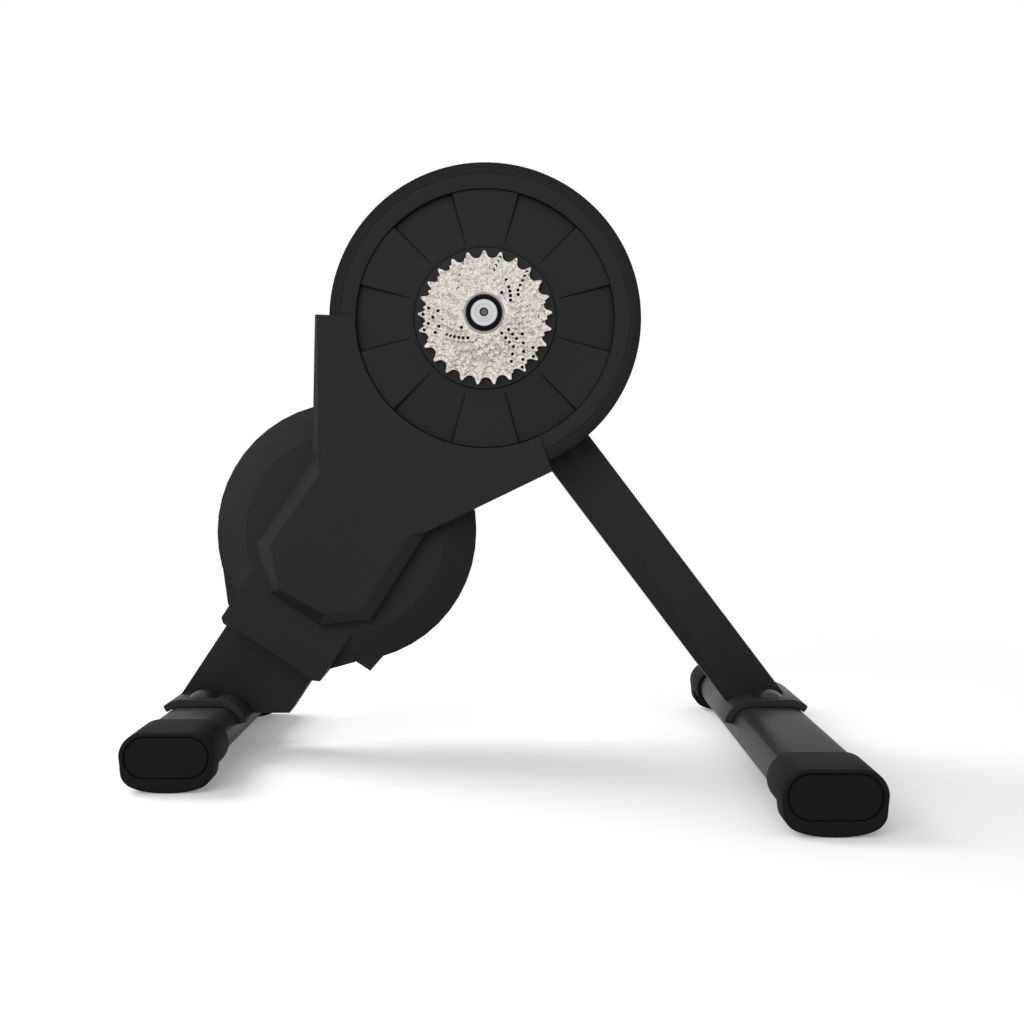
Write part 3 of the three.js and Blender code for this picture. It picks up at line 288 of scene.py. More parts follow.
# Saddles: 6 mm steel plate bent over each bar under its leg, painted with it.
# Each wraps the bar on the side under the trainer and stops with a rounded lip at the other shoulder.
saddle_from = -7.0
saddle_to = 91.0
saddle_inner = 16.3
saddle_thickness = 6.0
saddle_drop = 3.0
saddle_reach = 26.6
saddle_nose = 1.0
saddle_edge = 0.7


def offset(outline, distance):
    """Closed anticlockwise outline with its corners moved inwards: every side shifts by the distance.
    A least divisor keeps sharp corners from moving too far."""
    least = 0.35
    before = outline - np.roll(outline, 1, axis=0)
    after = np.roll(outline, -1, axis=0) - outline
    before /= np.linalg.norm(before, axis=1, keepdims=True)
    after /= np.linalg.norm(after, axis=1, keepdims=True)
    normal_before = np.stack([-before[:, 1], before[:, 0]], axis=1)
    normal_after = np.stack([-after[:, 1], after[:, 0]], axis=1)
    middle = normal_before + normal_after
    return outline + middle * (distance / np.maximum((middle * normal_before).sum(1, keepdims=True), least))


def bar_of(name, outline, y_from, y_to, edge, body, steps=4):
    """Prism along Y through an X, Z outline; quarter circles of the edge radius round both its rims."""
    angle = np.linspace(0.0, np.pi / 2.0, steps)
    inset, rise = edge * (1.0 - np.sin(angle)), edge * (1.0 - np.cos(angle))
    stations = [(offset(outline, i), y_from + r) for i, r in zip(inset, rise)]
    stations += [(offset(outline, i), y_to - r) for i, r in zip(inset[::-1], rise[::-1])]
    return skin(name, stacked(stations, 0.0, 0.0), body)


for side, foot in feet.items():
    reach = bar_width / 2.0 - bar_height / 2.0
    radius = saddle_inner + saddle_thickness / 2.0
    curl = np.linspace(np.arccos((saddle_reach - reach - saddle_nose) / radius), np.pi / 2.0, 13)
    wrap = np.linspace(np.pi / 2.0, np.pi - np.arcsin(saddle_drop / saddle_inner), 19)
    middle = np.concatenate([np.stack([reach + radius * np.cos(curl), radius * np.sin(curl)], axis=1),
                             np.stack([-reach + radius * np.cos(wrap), radius * np.sin(wrap)], axis=1)])
    along = np.gradient(middle, axis=0)
    along /= np.linalg.norm(along, axis=1, keepdims=True)
    across = np.stack([along[:, 1], -along[:, 0]], axis=1) * (saddle_thickness / 2.0)
    # The lip's end is half a squarish superellipse from one face of the plate to the other
    nose = np.linspace(0.0, np.pi, 9)[1:-1, None]
    start_nose = (middle[0] - across[0] * np.sign(np.cos(nose)) * np.abs(np.cos(nose)) ** 0.5
                  - along[0] * (saddle_thickness / 2.0) * np.sin(nose) ** 0.5)
    outline = np.concatenate([middle + across, (middle - across)[::-1], start_nose])
    outline = outline[::-1] if foot["x"] > 0 else outline * [-1.0, 1.0]
    area = np.sum(outline[:, 0] * np.roll(outline[:, 1], -1) - np.roll(outline[:, 0], -1) * outline[:, 1])
    outline = outline if area > 0 else outline[::-1]
    saddle = bar_of(f"{side}_bent_saddle", outline + [foot["x"], bar_centre], saddle_from, saddle_to,
                    saddle_edge, foot["body"])
    dress(saddle, satin_coat)
    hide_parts(f"{side}_saddle")

# Saddle bolts: dome headed, painted black, two through each saddle into its bar.
# The dome is a slice of a sphere, 23 mm across and 5.4 mm high, with a fine rim where it sits.
head_radius = 11.5
head_height = 5.4
head_rim = 0.4
shank_radius = 5.0
shank_length = 13.0
seat_lift = 0.6
seat = bar_centre + bar_height / 2.0 + seat_lift + saddle_thickness
bolt_places = (("drive", 9.0), ("far", 75.0))
bolt_black = coating("bolt black", linear(34, 34, 34), 0.3, 900.0, 0.004, 0.25, gloss=0.35)


def turned(name, profile, centre, body, sides=96):
    """Profile of (radius, Y) pairs turned about a Y axis through the X, Z centre; it is closed where it
    starts off the axis, and else starts and ends on it."""
    profile = np.asarray(profile, float)
    angle = np.linspace(0.0, 2.0 * np.pi, sides, endpoint=False)
    rings = np.stack([centre[0] + np.outer(profile[:, 0], np.cos(angle)),
                      np.repeat(profile[:, 1:], sides, axis=1),
                      centre[1] + np.outer(profile[:, 0], np.sin(angle))], axis=-1)
    return skin(name, rings, body, closed=profile[0, 0] > 0.0, capped=False)


def rounded(points, radii, steps=4):
    """Closed profile whose corners are cut: each is replaced by a quadratic curve between two points,
    which lie its radius away along its two sides."""
    out = []
    for i, (point, radius) in enumerate(zip(points, radii)):
        corner = np.array(point, float)
        if radius <= 0.0:
            out.append(corner)
            continue
        back, ahead = np.array(points[i - 1], float), np.array(points[(i + 1) % len(points)], float)
        a = corner + (back - corner) / np.linalg.norm(back - corner) * radius
        b = corner + (ahead - corner) / np.linalg.norm(ahead - corner) * radius
        for t in np.linspace(0.0, 1.0, steps + 1):
            out.append((1 - t) ** 2 * a + 2 * t * (1 - t) * corner + t ** 2 * b)
    return np.array(out)


for side, foot in feet.items():
    for end, y in bolt_places:
        sphere = (head_radius ** 2 + head_height ** 2) / (head_height * 2.0)
        radius = head_radius * np.cos(np.linspace(0.0, np.pi / 2.0, 14))
        height = seat + head_height - sphere + np.sqrt(sphere ** 2 - radius ** 2)
        dome = np.stack([radius, height], axis=1)
        dome[-1, 0] = 0.0
        lower = np.array([[0.0, seat - shank_length], [shank_radius, seat - shank_length],
                          [shank_radius, seat], [head_radius - head_rim, seat]])
        bolt = turned(f"{side}_dome_bolt_{end}", np.concatenate([lower, dome]), (0.0, 0.0), foot["body"],
                      sides=48)
        co = np.zeros(len(bolt.data.vertices) * 3, np.float32)
        bolt.data.vertices.foreach_get("co", co)
        co = co.reshape(-1, 3)
        stood = np.stack([co[:, 0] + foot["x"] * mm, y * mm - co[:, 2], co[:, 1]], axis=1)
        bolt.data.vertices.foreach_set("co", stood.astype(np.float32).ravel())
        bolt.data.update()
        dress(bolt, bolt_black)
        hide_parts(f"{side}_saddle_bolt_{end}")

# Legs and main frame: flat steel box sections with pressed corners, matte black powder coat.
# The rear leg slides up into the frame's spine; the front leg swings between two plates on the frame.
weld = 0.02
flat_within = 0.6
frame_coat = coating("matte powder coat", linear(36, 36, 36), 0.5, 1100.0, 0.012, 0.25, gloss=0.15)


def softened(name, node, body, edge, degrees=34.0, segments=3, chamfers=()):
    """Copy of a CAD node with its doubles merged, its flat faces joined and its sharp edges rounded.
    Each chamfer, given as two ends in mm and a width, cuts the one edge that lies between those ends."""
    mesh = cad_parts[node].data.copy()
    mesh.name = name
    bm = bmesh.new()
    bm.from_mesh(mesh)
    bmesh.ops.remove_doubles(bm, verts=bm.verts, dist=weld * mm)
    bmesh.ops.dissolve_degenerate(bm, edges=bm.edges, dist=weld * mm)
    bmesh.ops.dissolve_limit(bm, angle_limit=np.radians(flat_within), verts=bm.verts, edges=bm.edges)
    for *ends, width in chamfers:
        corners = [min(bm.verts, key=lambda v: np.linalg.norm(np.array(v.co) - np.array(p) * mm))
                   for p in ends]
        bmesh.ops.bevel(bm, geom=[bm.edges.get(corners)], offset=width * mm, segments=1, affect="EDGES")
    bm.to_mesh(mesh)
    bm.free()
    mesh.shade_smooth()
    piece = bpy.data.objects.new(name, mesh)
    scene.collection.objects.link(piece)
    rounding = piece.modifiers.new("edge", "BEVEL")
    rounding.limit_method = "ANGLE"
    rounding.angle_limit = np.radians(degrees)
    rounding.width = edge * mm
    rounding.segments = segments
    rounding.use_clamp_overlap = True
    rounding.harden_normals = True
    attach(piece, body)
    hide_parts(node)
    return piece


for name, node, body, edge in (("box_section_frame", "main_frame", "stand", 1.0),
                               ("rear_box_leg", "rear_leg", "stand", 1.2),
                               ("front_box_leg", "front_leg", "front_leg", 1.2)):
    dress(softened(name, node, body, edge), frame_coat)

# Pivot of the front leg: a machined pin through both plates, with a moulded six lobed knob on its far end.
# The knob clamps the plates on the leg.
pivot = (45.87, 273.54)
knob_radius = 17.0
lobe_height = 2.0
lobe_count = 6.0
knob_from = 64.0
knob_to = 82.0
knob_edge = 2.4
pin_steel = coating("machined steel", linear(143, 145, 148), 0.32, 3000.0, 0.002, 0.2, gloss=0.5, metal=1.0)
dress(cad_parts["pivot_pin"], pin_steel)
knob_plastic = coating("knob plastic", linear(30, 30, 30), 0.4, 1800.0, 0.006, 0.3, gloss=0.4)
lobe_angle = np.linspace(0.0, 2.0 * np.pi, 144, endpoint=False)
lobe_radius = knob_radius + lobe_height * np.cos(lobe_count * lobe_angle)
lobes = np.stack([lobe_radius * np.cos(lobe_angle), lobe_radius * np.sin(lobe_angle)], axis=1) + pivot
knob = bar_of("lobed_knob", lobes, knob_from, knob_to, knob_edge, "leg_knob", steps=6)
dress(knob, knob_plastic)
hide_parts("leg_knob")

# Pulley cover: one moulding, a drum 245 mm across with a flat rim, a hairline groove and a sunk face.
# The sunk face has twelve wedges; every second one slopes down from the hub to the recess wall.
# The band outside the groove is smoother and falls away to a rounded edge, with painted shade towards it.
axle = (0.0, 349.3)
drum_radius = 122.3
drum_face = -20.0
drum_back = 15.5
drum_wall = 3.0
shell_depth = 6.4
groove_radius = 113.2
recess_radius = 101.55
recess_depth = 1.8
wedge_count = 12
wedge_angle = 30.0
wedge_start = 60.0
wedge_drop = 4.0
wedge_blend = 0.24
hub_hole = 55.7
slit = 0.55
slit_depth = 3.0
line_depth = 1.4
line_width = 0.26
band_drop = 1.2
band_edge = 0.5
band_back = -16.0
# Painted shade on the band: its tone falls from full at this radius to this share at the drum's edge.
band_shade_from = 112.0
band_shade = 0.66
covered_from = 181.5
covered_to = 294.0
covered_drop = 1.4
cover_plastic = coating("grained plastic", linear(40, 40, 40), 0.58, 2400.0, 0.012, 0.2, gloss=0.12)


def pulley_cover():
    """Rings of fixed radius: Y is the profile's height plus the wedge slope, which steps at both edges of
    each wedge. A fine line is pressed in between wedges, and the rim is sunk where the main cover lies
    over it."""
    half, pair = wedge_angle / 2.0, wedge_angle * 2.0
    one_wedge = np.r_[-0.35, -0.12, 0.12, 0.35, np.linspace(1.0, wedge_angle - 1.0, 15)]
    degrees = np.concatenate([one_wedge + half + wedge_angle * k for k in range(wedge_count)])
    angle = np.radians(degrees)
    into_pair = (degrees + half) % pair
    past_start = (into_pair + wedge_blend / 2.0) / wedge_blend
    before_end = (wedge_angle + wedge_blend / 2.0 - into_pair) / wedge_blend
    next_start = (into_pair - pair + wedge_blend / 2.0) / wedge_blend
    sunk = np.clip(before_end, 0.0, 1.0) * np.clip(past_start, 0.0, 1.0)
    sunk = np.where(into_pair > pair - 0.2, np.clip(next_start, 0.0, 1.0), sunk)
    from_line = ((degrees + half) % wedge_angle + half) % wedge_angle - half
    line = np.exp(-(from_line / line_width) ** 2)
    floor = drum_face + recess_depth
    profile = [(hub_hole, floor + shell_depth, 0.0), (hub_hole, floor + 0.5, 0.0),
               (hub_hole + 0.15, floor + 0.15, 0.0), (hub_hole + 0.5, floor, 0.0),
               (wedge_start - 0.2, floor, 0.0)]
    for radius in np.linspace(wedge_start, recess_radius - 1.0, 24):
        profile.append((radius, floor, (radius - wedge_start) / (recess_radius - wedge_start)))
    profile += [(recess_radius - slit, floor, 1.0), (recess_radius - slit, floor + slit_depth, 1.0),
                (recess_radius, floor + slit_depth, 1.0), (recess_radius, drum_face + 0.5, 0.0),
                (recess_radius + 0.15, drum_face + 0.15, 0.0), (recess_radius + 0.5, drum_face, 0.0),
                (groove_radius - 0.5, drum_face, 0.0), (groove_radius - 0.1, drum_face + 0.25, 0.0),
                (groove_radius + 0.1, drum_face + 0.8, 0.0), (groove_radius + 0.6, drum_face + 0.8, 0.0),
                (groove_radius + 0.8, drum_face + 0.45, 0.0), (groove_radius + 1.2, drum_face + 0.3, 0.0)]
    for share in np.linspace(0.1, 1.0, 7):
        profile.append((groove_radius + 1.2 + (drum_radius - groove_radius - 1.2 - band_edge) * share,
                        drum_face + 0.3 + (band_drop - 0.3) * share ** 1.5, 0.0))
    for a in np.linspace(np.radians(25.0), np.pi / 2.0, 5):
        profile.append((drum_radius - band_edge * (1.0 - np.sin(a)),
                        drum_face + band_drop + band_edge * (1.0 - np.cos(a)), 0.0))
    profile += [(drum_radius, drum_back, 0.0), (drum_radius - drum_wall, drum_back, 0.0),
                (drum_radius - drum_wall, floor + shell_depth, 0.0)]
    table = np.array(profile)
    radius, height, share = table[:, :1], table[:, 1:2], table[:, 2:]
    on_wedges = (radius > wedge_start) & (radius < recess_radius - 0.05)
    sloped = height + wedge_drop * share * sunk[None, :] + line_depth * line[None, :] * on_wedges
    covered = ((degrees % 360.0 > covered_from) & (degrees % 360.0 < covered_to))[None, :]
    rim = (radius > recess_radius + 0.1) & (height < drum_face + 2.0)
    sloped = np.where(rim & covered, sloped + covered_drop, sloped)
    return np.stack([axle[0] + radius * np.cos(angle), sloped, axle[1] + radius * np.sin(angle)], axis=-1)


def from_centre(tree, centre):
    """Place in object space less the X, Z centre, in metres."""
    place = add_node(tree, "ShaderNodeTexCoord")
    moved = add_node(tree, "ShaderNodeVectorMath", {1: (centre[0] * mm, 0.0, centre[1] * mm)},
                     operation="SUBTRACT")
    wire(tree, (place, "Object", moved, 0))
    return moved


def scaled_tone(tree, factor):
    """Multiplies the grain's tone by the node's result, which changes over the surface, before the tint."""
    product = add_node(tree, "ShaderNodeMath", operation="MULTIPLY")
    scale = tree.nodes["tint"].inputs["Scale"]
    tree.links.new(scale.links[0].from_socket, product.inputs[0])
    tree.links.new(factor.outputs["Result"], product.inputs[1])
    tree.links.new(product.outputs["Value"], scale)


def rim_plastic_with_painted_shade():
    """Smoother plastic of the band with painted shade: its tone falls with the distance from the axle."""
    material = coating("rim plastic with painted shade", linear(41, 41, 41), 0.6, 2400.0, 0.012, 0.2, gloss=0.09)
    tree = material.node_tree
    moved = from_centre(tree, axle)
    flat = add_node(tree, "ShaderNodeVectorMath", {1: (1.0, 0.0, 1.0)}, operation="MULTIPLY")
    distance = add_node(tree, "ShaderNodeVectorMath", operation="LENGTH")
    darker = add_node(tree, "ShaderNodeMapRange", {
        "From Min": band_shade_from * mm, "From Max": drum_radius * mm, "To Min": 1.0, "To Max": band_shade})
    wire(tree, (moved, "Vector", flat, 0), (flat, "Vector", distance, 0),
         (distance, "Value", darker, "Value"))
    scaled_tone(tree, darker)
    return material


drum = skin("ribbed_drum", pulley_cover(), "stand", closed=True)
dress(drum, cover_plastic)
drum.data.materials.append(rim_plastic_with_painted_shade())
# The band's faces take the second material, which carries the painted shade.
middles = np.zeros(len(drum.data.polygons) * 3, np.float32)
drum.data.polygons.foreach_get("center", middles)
middles = middles.reshape(-1, 3) / mm
off_axle = np.hypot(middles[:, 0] - axle[0], middles[:, 2] - axle[1])
painted_shade_band = (off_axle > groove_radius + 0.9) & (middles[:, 1] < band_back)
drum.data.polygons.foreach_set("material_index", painted_shade_band.astype(np.int32))
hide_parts("pulley_cover")
dress(softened("drum_back_plate", "pulley_back_plate", "stand", 0.8), cover_plastic)

# Main cover and flywheel housing: moulded in the same grained black plastic as the drum.
# The cover's face is a flat plate with bevelled sides; the housing is two shells that meet behind the belt.
# The collar's lower edge, where the leg comes out, has a broad chamfer.
collar_edge = (((-208.26, -6.0, 108.11), (-140.47, -6.0, 63.42), 2.6),)
for name, node, edge, chamfers in (("bevelled_cover", "main_cover", 0.5, ()),
                                   ("near_housing", "flywheel_housing_drive", 0.7, collar_edge),
                                   ("far_housing", "flywheel_housing_far", 1.0, ())):
    dress(softened(name, node, "stand", edge, degrees=22.0, chamfers=chamfers), cover_plastic)

cover_face = -22.0
bevel_foot = -8.9
upright_from = 225.0
upright_foot = 246.0
upright_top = 352.7
upright_side = -134.3
upright_shares = (0.5, 0.23)
bottom_under = 140.0
bottom_start = (-131.34, 0.0, 107.81)
bottom_across = (0.88, 0.0, -0.475)
shallow_corners = np.array([(-130.75, 107.43), (-90.88, 112.09), (-47.36, 180.09), (-45.94, 181.51)])
shallow_share = 0.42
corner_reach = 0.4


def ease_bevels(mesh):
    """Cuts set off the narrow upright bevel and the lower right ones from those that keep their depth.
    Then their rear corners come forward, each along its line to the eye, so the outline keeps its place
    from there: the depth behind the flat face is multiplied by the share."""
    bm = bmesh.new()
    bm.from_mesh(mesh)
    slanted = [(face, face.calc_center_median().z / mm) for face in bm.faces
               if -0.95 < face.normal.y < -0.1]
    for faces, place, across in (
            ([face for face, z in slanted if z > upright_from], (0.0, 0.0, upright_foot), (0.0, 0.0, 1.0)),
            ([face for face, z in slanted if z < bottom_under], bottom_start, bottom_across)):
        geometry = {part for face in faces for part in (face, *face.edges, *face.verts)}
        bmesh.ops.bisect_plane(bm, geom=list(geometry), plane_co=np.array(place) * mm, plane_no=across)
    bm.to_mesh(mesh)
    bm.free()
    co = np.zeros(len(mesh.vertices) * 3, np.float32)
    mesh.vertices.foreach_get("co", co)
    place = co.reshape(-1, 3) / mm
    x, y, z = place.T
    slope = (y > cover_face + 0.1) & (y < bevel_foot)
    upright = slope & (x < upright_side) & (z > upright_foot - 0.1)
    away = np.hypot(x[:, None] - shallow_corners[:, 0], z[:, None] - shallow_corners[:, 1]).min(axis=1)
    share = np.where(upright, np.interp(z, (upright_foot, upright_top), upright_shares),
                     np.where(slope & (away < corner_reach), shallow_share, 1.0))
    forward = cover_face + (y - cover_face) * share
    nearer = ((forward - eye[1]) / (y - eye[1]))[:, None]
    place = np.where(slope[:, None], np.array(eye) + (place - np.array(eye)) * nearer, place)
    mesh.vertices.foreach_set("co", (place * mm).astype(np.float32).ravel())
    mesh.update()


ease_bevels(bpy.data.objects["bevelled_cover"].data)

# Drive pulley: painted aluminium disc that shows round the cassette, with the belt's rim behind the drum.
# Belt, small pulley, idler and bearings run out of sight between the drum and the back plate.
pulley_paint = coating("pulley paint", linear(39, 39, 39), 0.5, 2000.0, 0.006, 0.2, gloss=0.15)
dress(softened("pulley_disc", "drive_pulley", "drive_pulley", 0.5), pulley_paint)
belt_rubber = coating("belt rubber", linear(24, 24, 24), 0.7, 1500.0, 0.03, 0.3, gloss=0.3)
dress(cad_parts["drive_belt"], belt_rubber)
for node in ("idler_pulley", "idler_arm", "idler_bolt", "hub_bearing_drive", "hub_bearing_far",
             "shaft_bearing_drive", "shaft_bearing_far", "flywheel_shaft", "axle", "freehub_body"):
    dress(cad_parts[node], pin_steel)


def turned_finish(name, colour, centre, rings_per_metre, depth):
    """Metal whose tone, relief and roughness follow circles about a Y axis through the centre."""
    material = coating(name, colour, 0.25, 2600.0, 0.002, 0.12, gloss=0.5, metal=1.0)
    tree = material.node_tree
    shader = tree.nodes["Principled BSDF"]
    rings = add_node(tree, "ShaderNodeTexWave", {"Scale": rings_per_metre, "Distortion": 0.6},
                     wave_type="RINGS", rings_direction="Y")
    marks = add_node(tree, "ShaderNodeBump", {"Distance": depth * mm})
    rough = add_node(tree, "ShaderNodeMapRange", {"To Min": 0.2, "To Max": 0.36})
    tone = add_node(tree, "ShaderNodeMapRange", {"To Min": 0.84, "To Max": 1.12})
    scaled_tone(tree, tone)
    wire(tree, (from_centre(tree, centre), "Vector", rings, "Vector"), (rings, "Fac", tone, "Value"),
         (rings, "Fac", marks, "Height"), (rings, "Fac", rough, "Value"),
         (marks, "Normal", shader, "Normal"), (rough, "Result", shader, "Roughness"))
    return material


turned_alloy = turned_finish("turned aluminium", linear(206, 206, 206), axle, 95.0, 0.05)
dress(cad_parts["motor_pulley"], turned_alloy)

# Cassette: eleven stamped, nickel plated steel cogs from 11 to 25 teeth at a 12.7 mm pitch.
# Each plate has round gullets for the chain's rollers, narrow teeth, and dimples along its shift ramps;
# the five larger ones have slots there too. The dimples and slots are shallow, and their dark floors and
# walls are painted shade standing in for holes.
teeth = (11, 12, 13, 14, 15, 16, 17, 19, 21, 23, 25)
chain_pitch = 12.7
roller_radius = 3.97
scoop_radius = 4.7
tip_share = 0.34
tip_width = 1.6
turn_share = 0.38
plate = 1.6
plate_edge = 0.2
spacing = 3.69
first_plate = -61.4
cog_bore = 14.7
dimple_radius = 1.35
dimple_depth = 1.0
dimple_rise = 1.7
ramp_directions = (62.0, 192.0, 308.0)
ramp_teeth = 3
ramp_dimples = 2
ramp_full_from = 6
slot_teeth_on = 3.4
slot_drop = 0.9
slot_half_length = 1.7
slot_half_width = 0.35


def plated_steel():
    """Bright plating marked by the stamping tool: pale and darker clouds from one noise, and thin grey
    scratches along the lines where a second, distorted noise passes its mean."""
    material = bpy.data.materials.new("nickel plated steel")
    material.use_nodes = True
    tree = material.node_tree
    shader = tree.nodes["Principled BSDF"]
    shader.inputs["Metallic"].default_value = 1.0
    place = add_node(tree, "ShaderNodeTexCoord")
    cloud = add_node(tree, "ShaderNodeTexNoise", {"Scale": 420.0, "Detail": 4.0, "Roughness": 0.7})
    tone = add_node(tree, "ShaderNodeValToRGB")
    darker, paler = tone.color_ramp.elements
    darker.position, darker.color = 0.3, linear(156, 146, 136)
    paler.position, paler.color = 0.56, linear(243, 235, 228)
    streak = add_node(tree, "ShaderNodeTexNoise", {"Scale": 230.0, "Detail": 2.0, "Distortion": 2.5})
    apart = add_node(tree, "ShaderNodeMath", {1: 0.5}, operation="SUBTRACT")
    distance = add_node(tree, "ShaderNodeMath", operation="ABSOLUTE")
    mark = add_node(tree, "ShaderNodeMapRange",
                    {"From Min": 0.004, "From Max": 0.022, "To Min": 0.38, "To Max": 1.0})
    marked = add_node(tree, "ShaderNodeVectorMath", operation="SCALE")
    rough = add_node(tree, "ShaderNodeMapRange", {"To Min": 0.42, "To Max": 0.2})
    bump = add_node(tree, "ShaderNodeBump", {"Distance": 0.02 * mm})
    wire(tree, (place, "Object", cloud, "Vector"), (place, "Object", streak, "Vector"),
         (cloud, "Fac", tone, "Fac"), (streak, "Fac", apart, 0), (apart, "Value", distance, 0),
         (distance, "Value", mark, "Value"), (tone, "Color", marked, 0), (mark, "Result", marked, "Scale"),
         (marked, "Vector", shader, "Base Color"), (cloud, "Fac", rough, "Value"),
         (rough, "Result", shader, "Roughness"), (cloud, "Fac", bump, "Height"),
         (bump, "Normal", shader, "Normal"))
    return material


cog_steel = plated_steel()
# Painted shade: this dark finish on the dimples' floors and walls stands in for the shade inside holes.
painted_hole_shade = coating("painted hole shade", linear(22, 21, 20), 0.6, 1500.0, 0.004, 0.3, gloss=0.2)


def tip_radius_of(count):
    """Radius over the tips of a cog of that many teeth."""
    return chain_pitch / 2.0 * (tip_share + 1.0 / np.tan(np.pi / count))


def root_radius_of(count):
    """Radius at the floor of its gullets."""
    return chain_pitch / 2.0 / np.sin(np.pi / count) - roller_radius


def cog_outline(count, lead):
    """Each gullet is an arc of the scoop's radius that touches the root circle;
    straight flanks run up to narrow tips. The lead turns the cog by that share of a tooth."""
    centre = root_radius_of(count) + scoop_radius
    tip_radius = tip_radius_of(count)
    swing = np.radians(np.linspace(-72.0, 72.0, 11))
    gullet = np.stack([centre - scoop_radius * np.cos(swing), scoop_radius * np.sin(swing)], axis=1)
    sides = np.pi / count + np.array([-1.0, 1.0]) * (tip_width / 2.0 / tip_radius)
    one = np.concatenate([gullet, np.stack([np.cos(sides), np.sin(sides)], axis=1) * tip_radius])
    turns = 2.0 * np.pi * (np.arange(count) + lead) / count
    c, s = np.cos(turns)[:, None], np.sin(turns)[:, None]
    return np.stack([one[:, 0] * c - one[:, 1] * s, one[:, 0] * s + one[:, 1] * c], axis=-1).reshape(-1, 2)


def circle(centre, radius, sides):
    """Anticlockwise circle of points."""
    angle = np.linspace(0.0, 2.0 * np.pi, sides, endpoint=False)
    return np.stack([centre[0] + radius * np.cos(angle), centre[1] + radius * np.sin(angle)], axis=1)


def ramp_slot(radius, angle):
    """Anticlockwise outline of a short slot along a circle about the axle, a little inside the radius."""
    middle = radius - slot_drop
    run = np.linspace(angle - slot_half_length / radius, angle + slot_half_length / radius, 5)
    along = np.stack([np.cos(run), np.sin(run)], axis=1)
    return np.concatenate([along * (middle + slot_half_width), along[::-1] * (middle - slot_half_width)])


def filled(loops):
    """Triangles, anticlockwise, that fill the first loop and leave out the others."""
    flat = np.concatenate(loops)
    face = np.array(tessellate_polygon([[(x, z, 0.0) for x, z in loop] for loop in loops]))
    corner = flat[face]
    u, v = corner[:, 1] - corner[:, 0], corner[:, 2] - corner[:, 0]
    turned_round = u[:, 0] * v[:, 1] - u[:, 1] * v[:, 0] < 0.0
    face[turned_round] = face[turned_round][:, ::-1]
    return face


def walls(low, high, count):
    """Quads that join two loops of as many points, given by the number of each loop's first point."""
    here = np.arange(count)
    after = np.roll(here, -1)
    return np.stack([low + here, high + here, high + after, low + after], axis=1).tolist()


def cog_plate(name, outline, bore, dimples, y_from, y_to, body):
    """Plate with a through bore: its outer rims are chamfered, and dimples are sunk in its near face.
    Their floors and walls take the second material, painted dark as the shade inside holes."""
    eased = offset(outline, plate_edge)
    near = [eased, bore[::-1]] + [d[::-1] for d in dimples]
    sizes = [len(loop) for loop in near]
    starts = np.cumsum([0] + sizes)
    points, faces = [], []

    def layer(shapes, y):
        first = sum(len(p) for p in points)
        flat = np.concatenate(shapes)
        points.append(np.stack([flat[:, 0], np.full(len(flat), y), flat[:, 1]], axis=1))
        return first

    front = layer(near, y_from)
    rim = layer([outline, bore[::-1]], y_from + plate_edge)
    back_rim = layer([outline, bore[::-1]], y_to - plate_edge)
    back = layer([eased, bore[::-1]], y_to)
    faces += (filled(near) + front).tolist()
    faces += (filled([eased, bore[::-1]])[:, ::-1] + back).tolist()
    for low, high in ((front, rim), (rim, back_rim), (back_rim, back)):
        faces += walls(low, high, sizes[0]) + walls(low + sizes[0], high + sizes[0], sizes[1])
    bright = len(faces)
    for start, size, dimple in zip(starts[2:], sizes[2:], dimples):
        floor_loop = layer([dimple[::-1]], y_from + dimple_depth)
        faces += walls(front + start, floor_loop, size)
        faces.append([floor_loop + k for k in reversed(range(size))])
    mesh = bpy.data.meshes.new(name)
    mesh.from_pydata((np.concatenate(points) * mm).tolist(), [], faces)
    # Dimple faces take the second material, painted dark as the shade inside holes.
    dark = np.arange(len(faces)) >= bright
    mesh.polygons.foreach_set("material_index", dark.astype(np.int32))
    return new_piece(name, mesh, body)


for index, count in enumerate(teeth):
    front = first_plate + spacing * index
    root = root_radius_of(count)
    dimples = []
    tooth_angle = 2.0 * np.pi * (np.arange(count) + 0.5 + turn_share * index) / count
    before = teeth[max(index - 1, 0)]
    past_gullet = (tooth_angle / (2.0 * np.pi / before) - turn_share * (index - 1) + 0.5) % 1.0 - 0.5
    full = index >= ramp_full_from
    for direction in np.radians(ramp_directions):
        away_from_ramp = np.abs((tooth_angle - direction + np.pi) % (2.0 * np.pi) - np.pi)
        near_ramp = np.argsort(away_from_ramp)[:ramp_teeth]
        clearest = near_ramp[np.argsort(np.abs(past_gullet[near_ramp]))]
        for a in tooth_angle[clearest[:ramp_dimples if full else 1]]:
            radius = root + dimple_rise
            dimples.append(circle((radius * np.cos(a), radius * np.sin(a)), dimple_radius, 12))
        if full:
            dimples.append(ramp_slot(root, direction + slot_teeth_on * 2.0 * np.pi / count))
    cog = cog_plate(f"cog_plate_{count}", cog_outline(count, turn_share * index) + axle,
                    circle((0.0, 0.0), cog_bore, 48) + axle, [d + axle for d in dimples],
                    front, front + plate, "cassette")
    cog.data.materials.append(cog_steel)
    cog.data.materials.append(painted_hole_shade)
    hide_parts(f"cog_{count}")

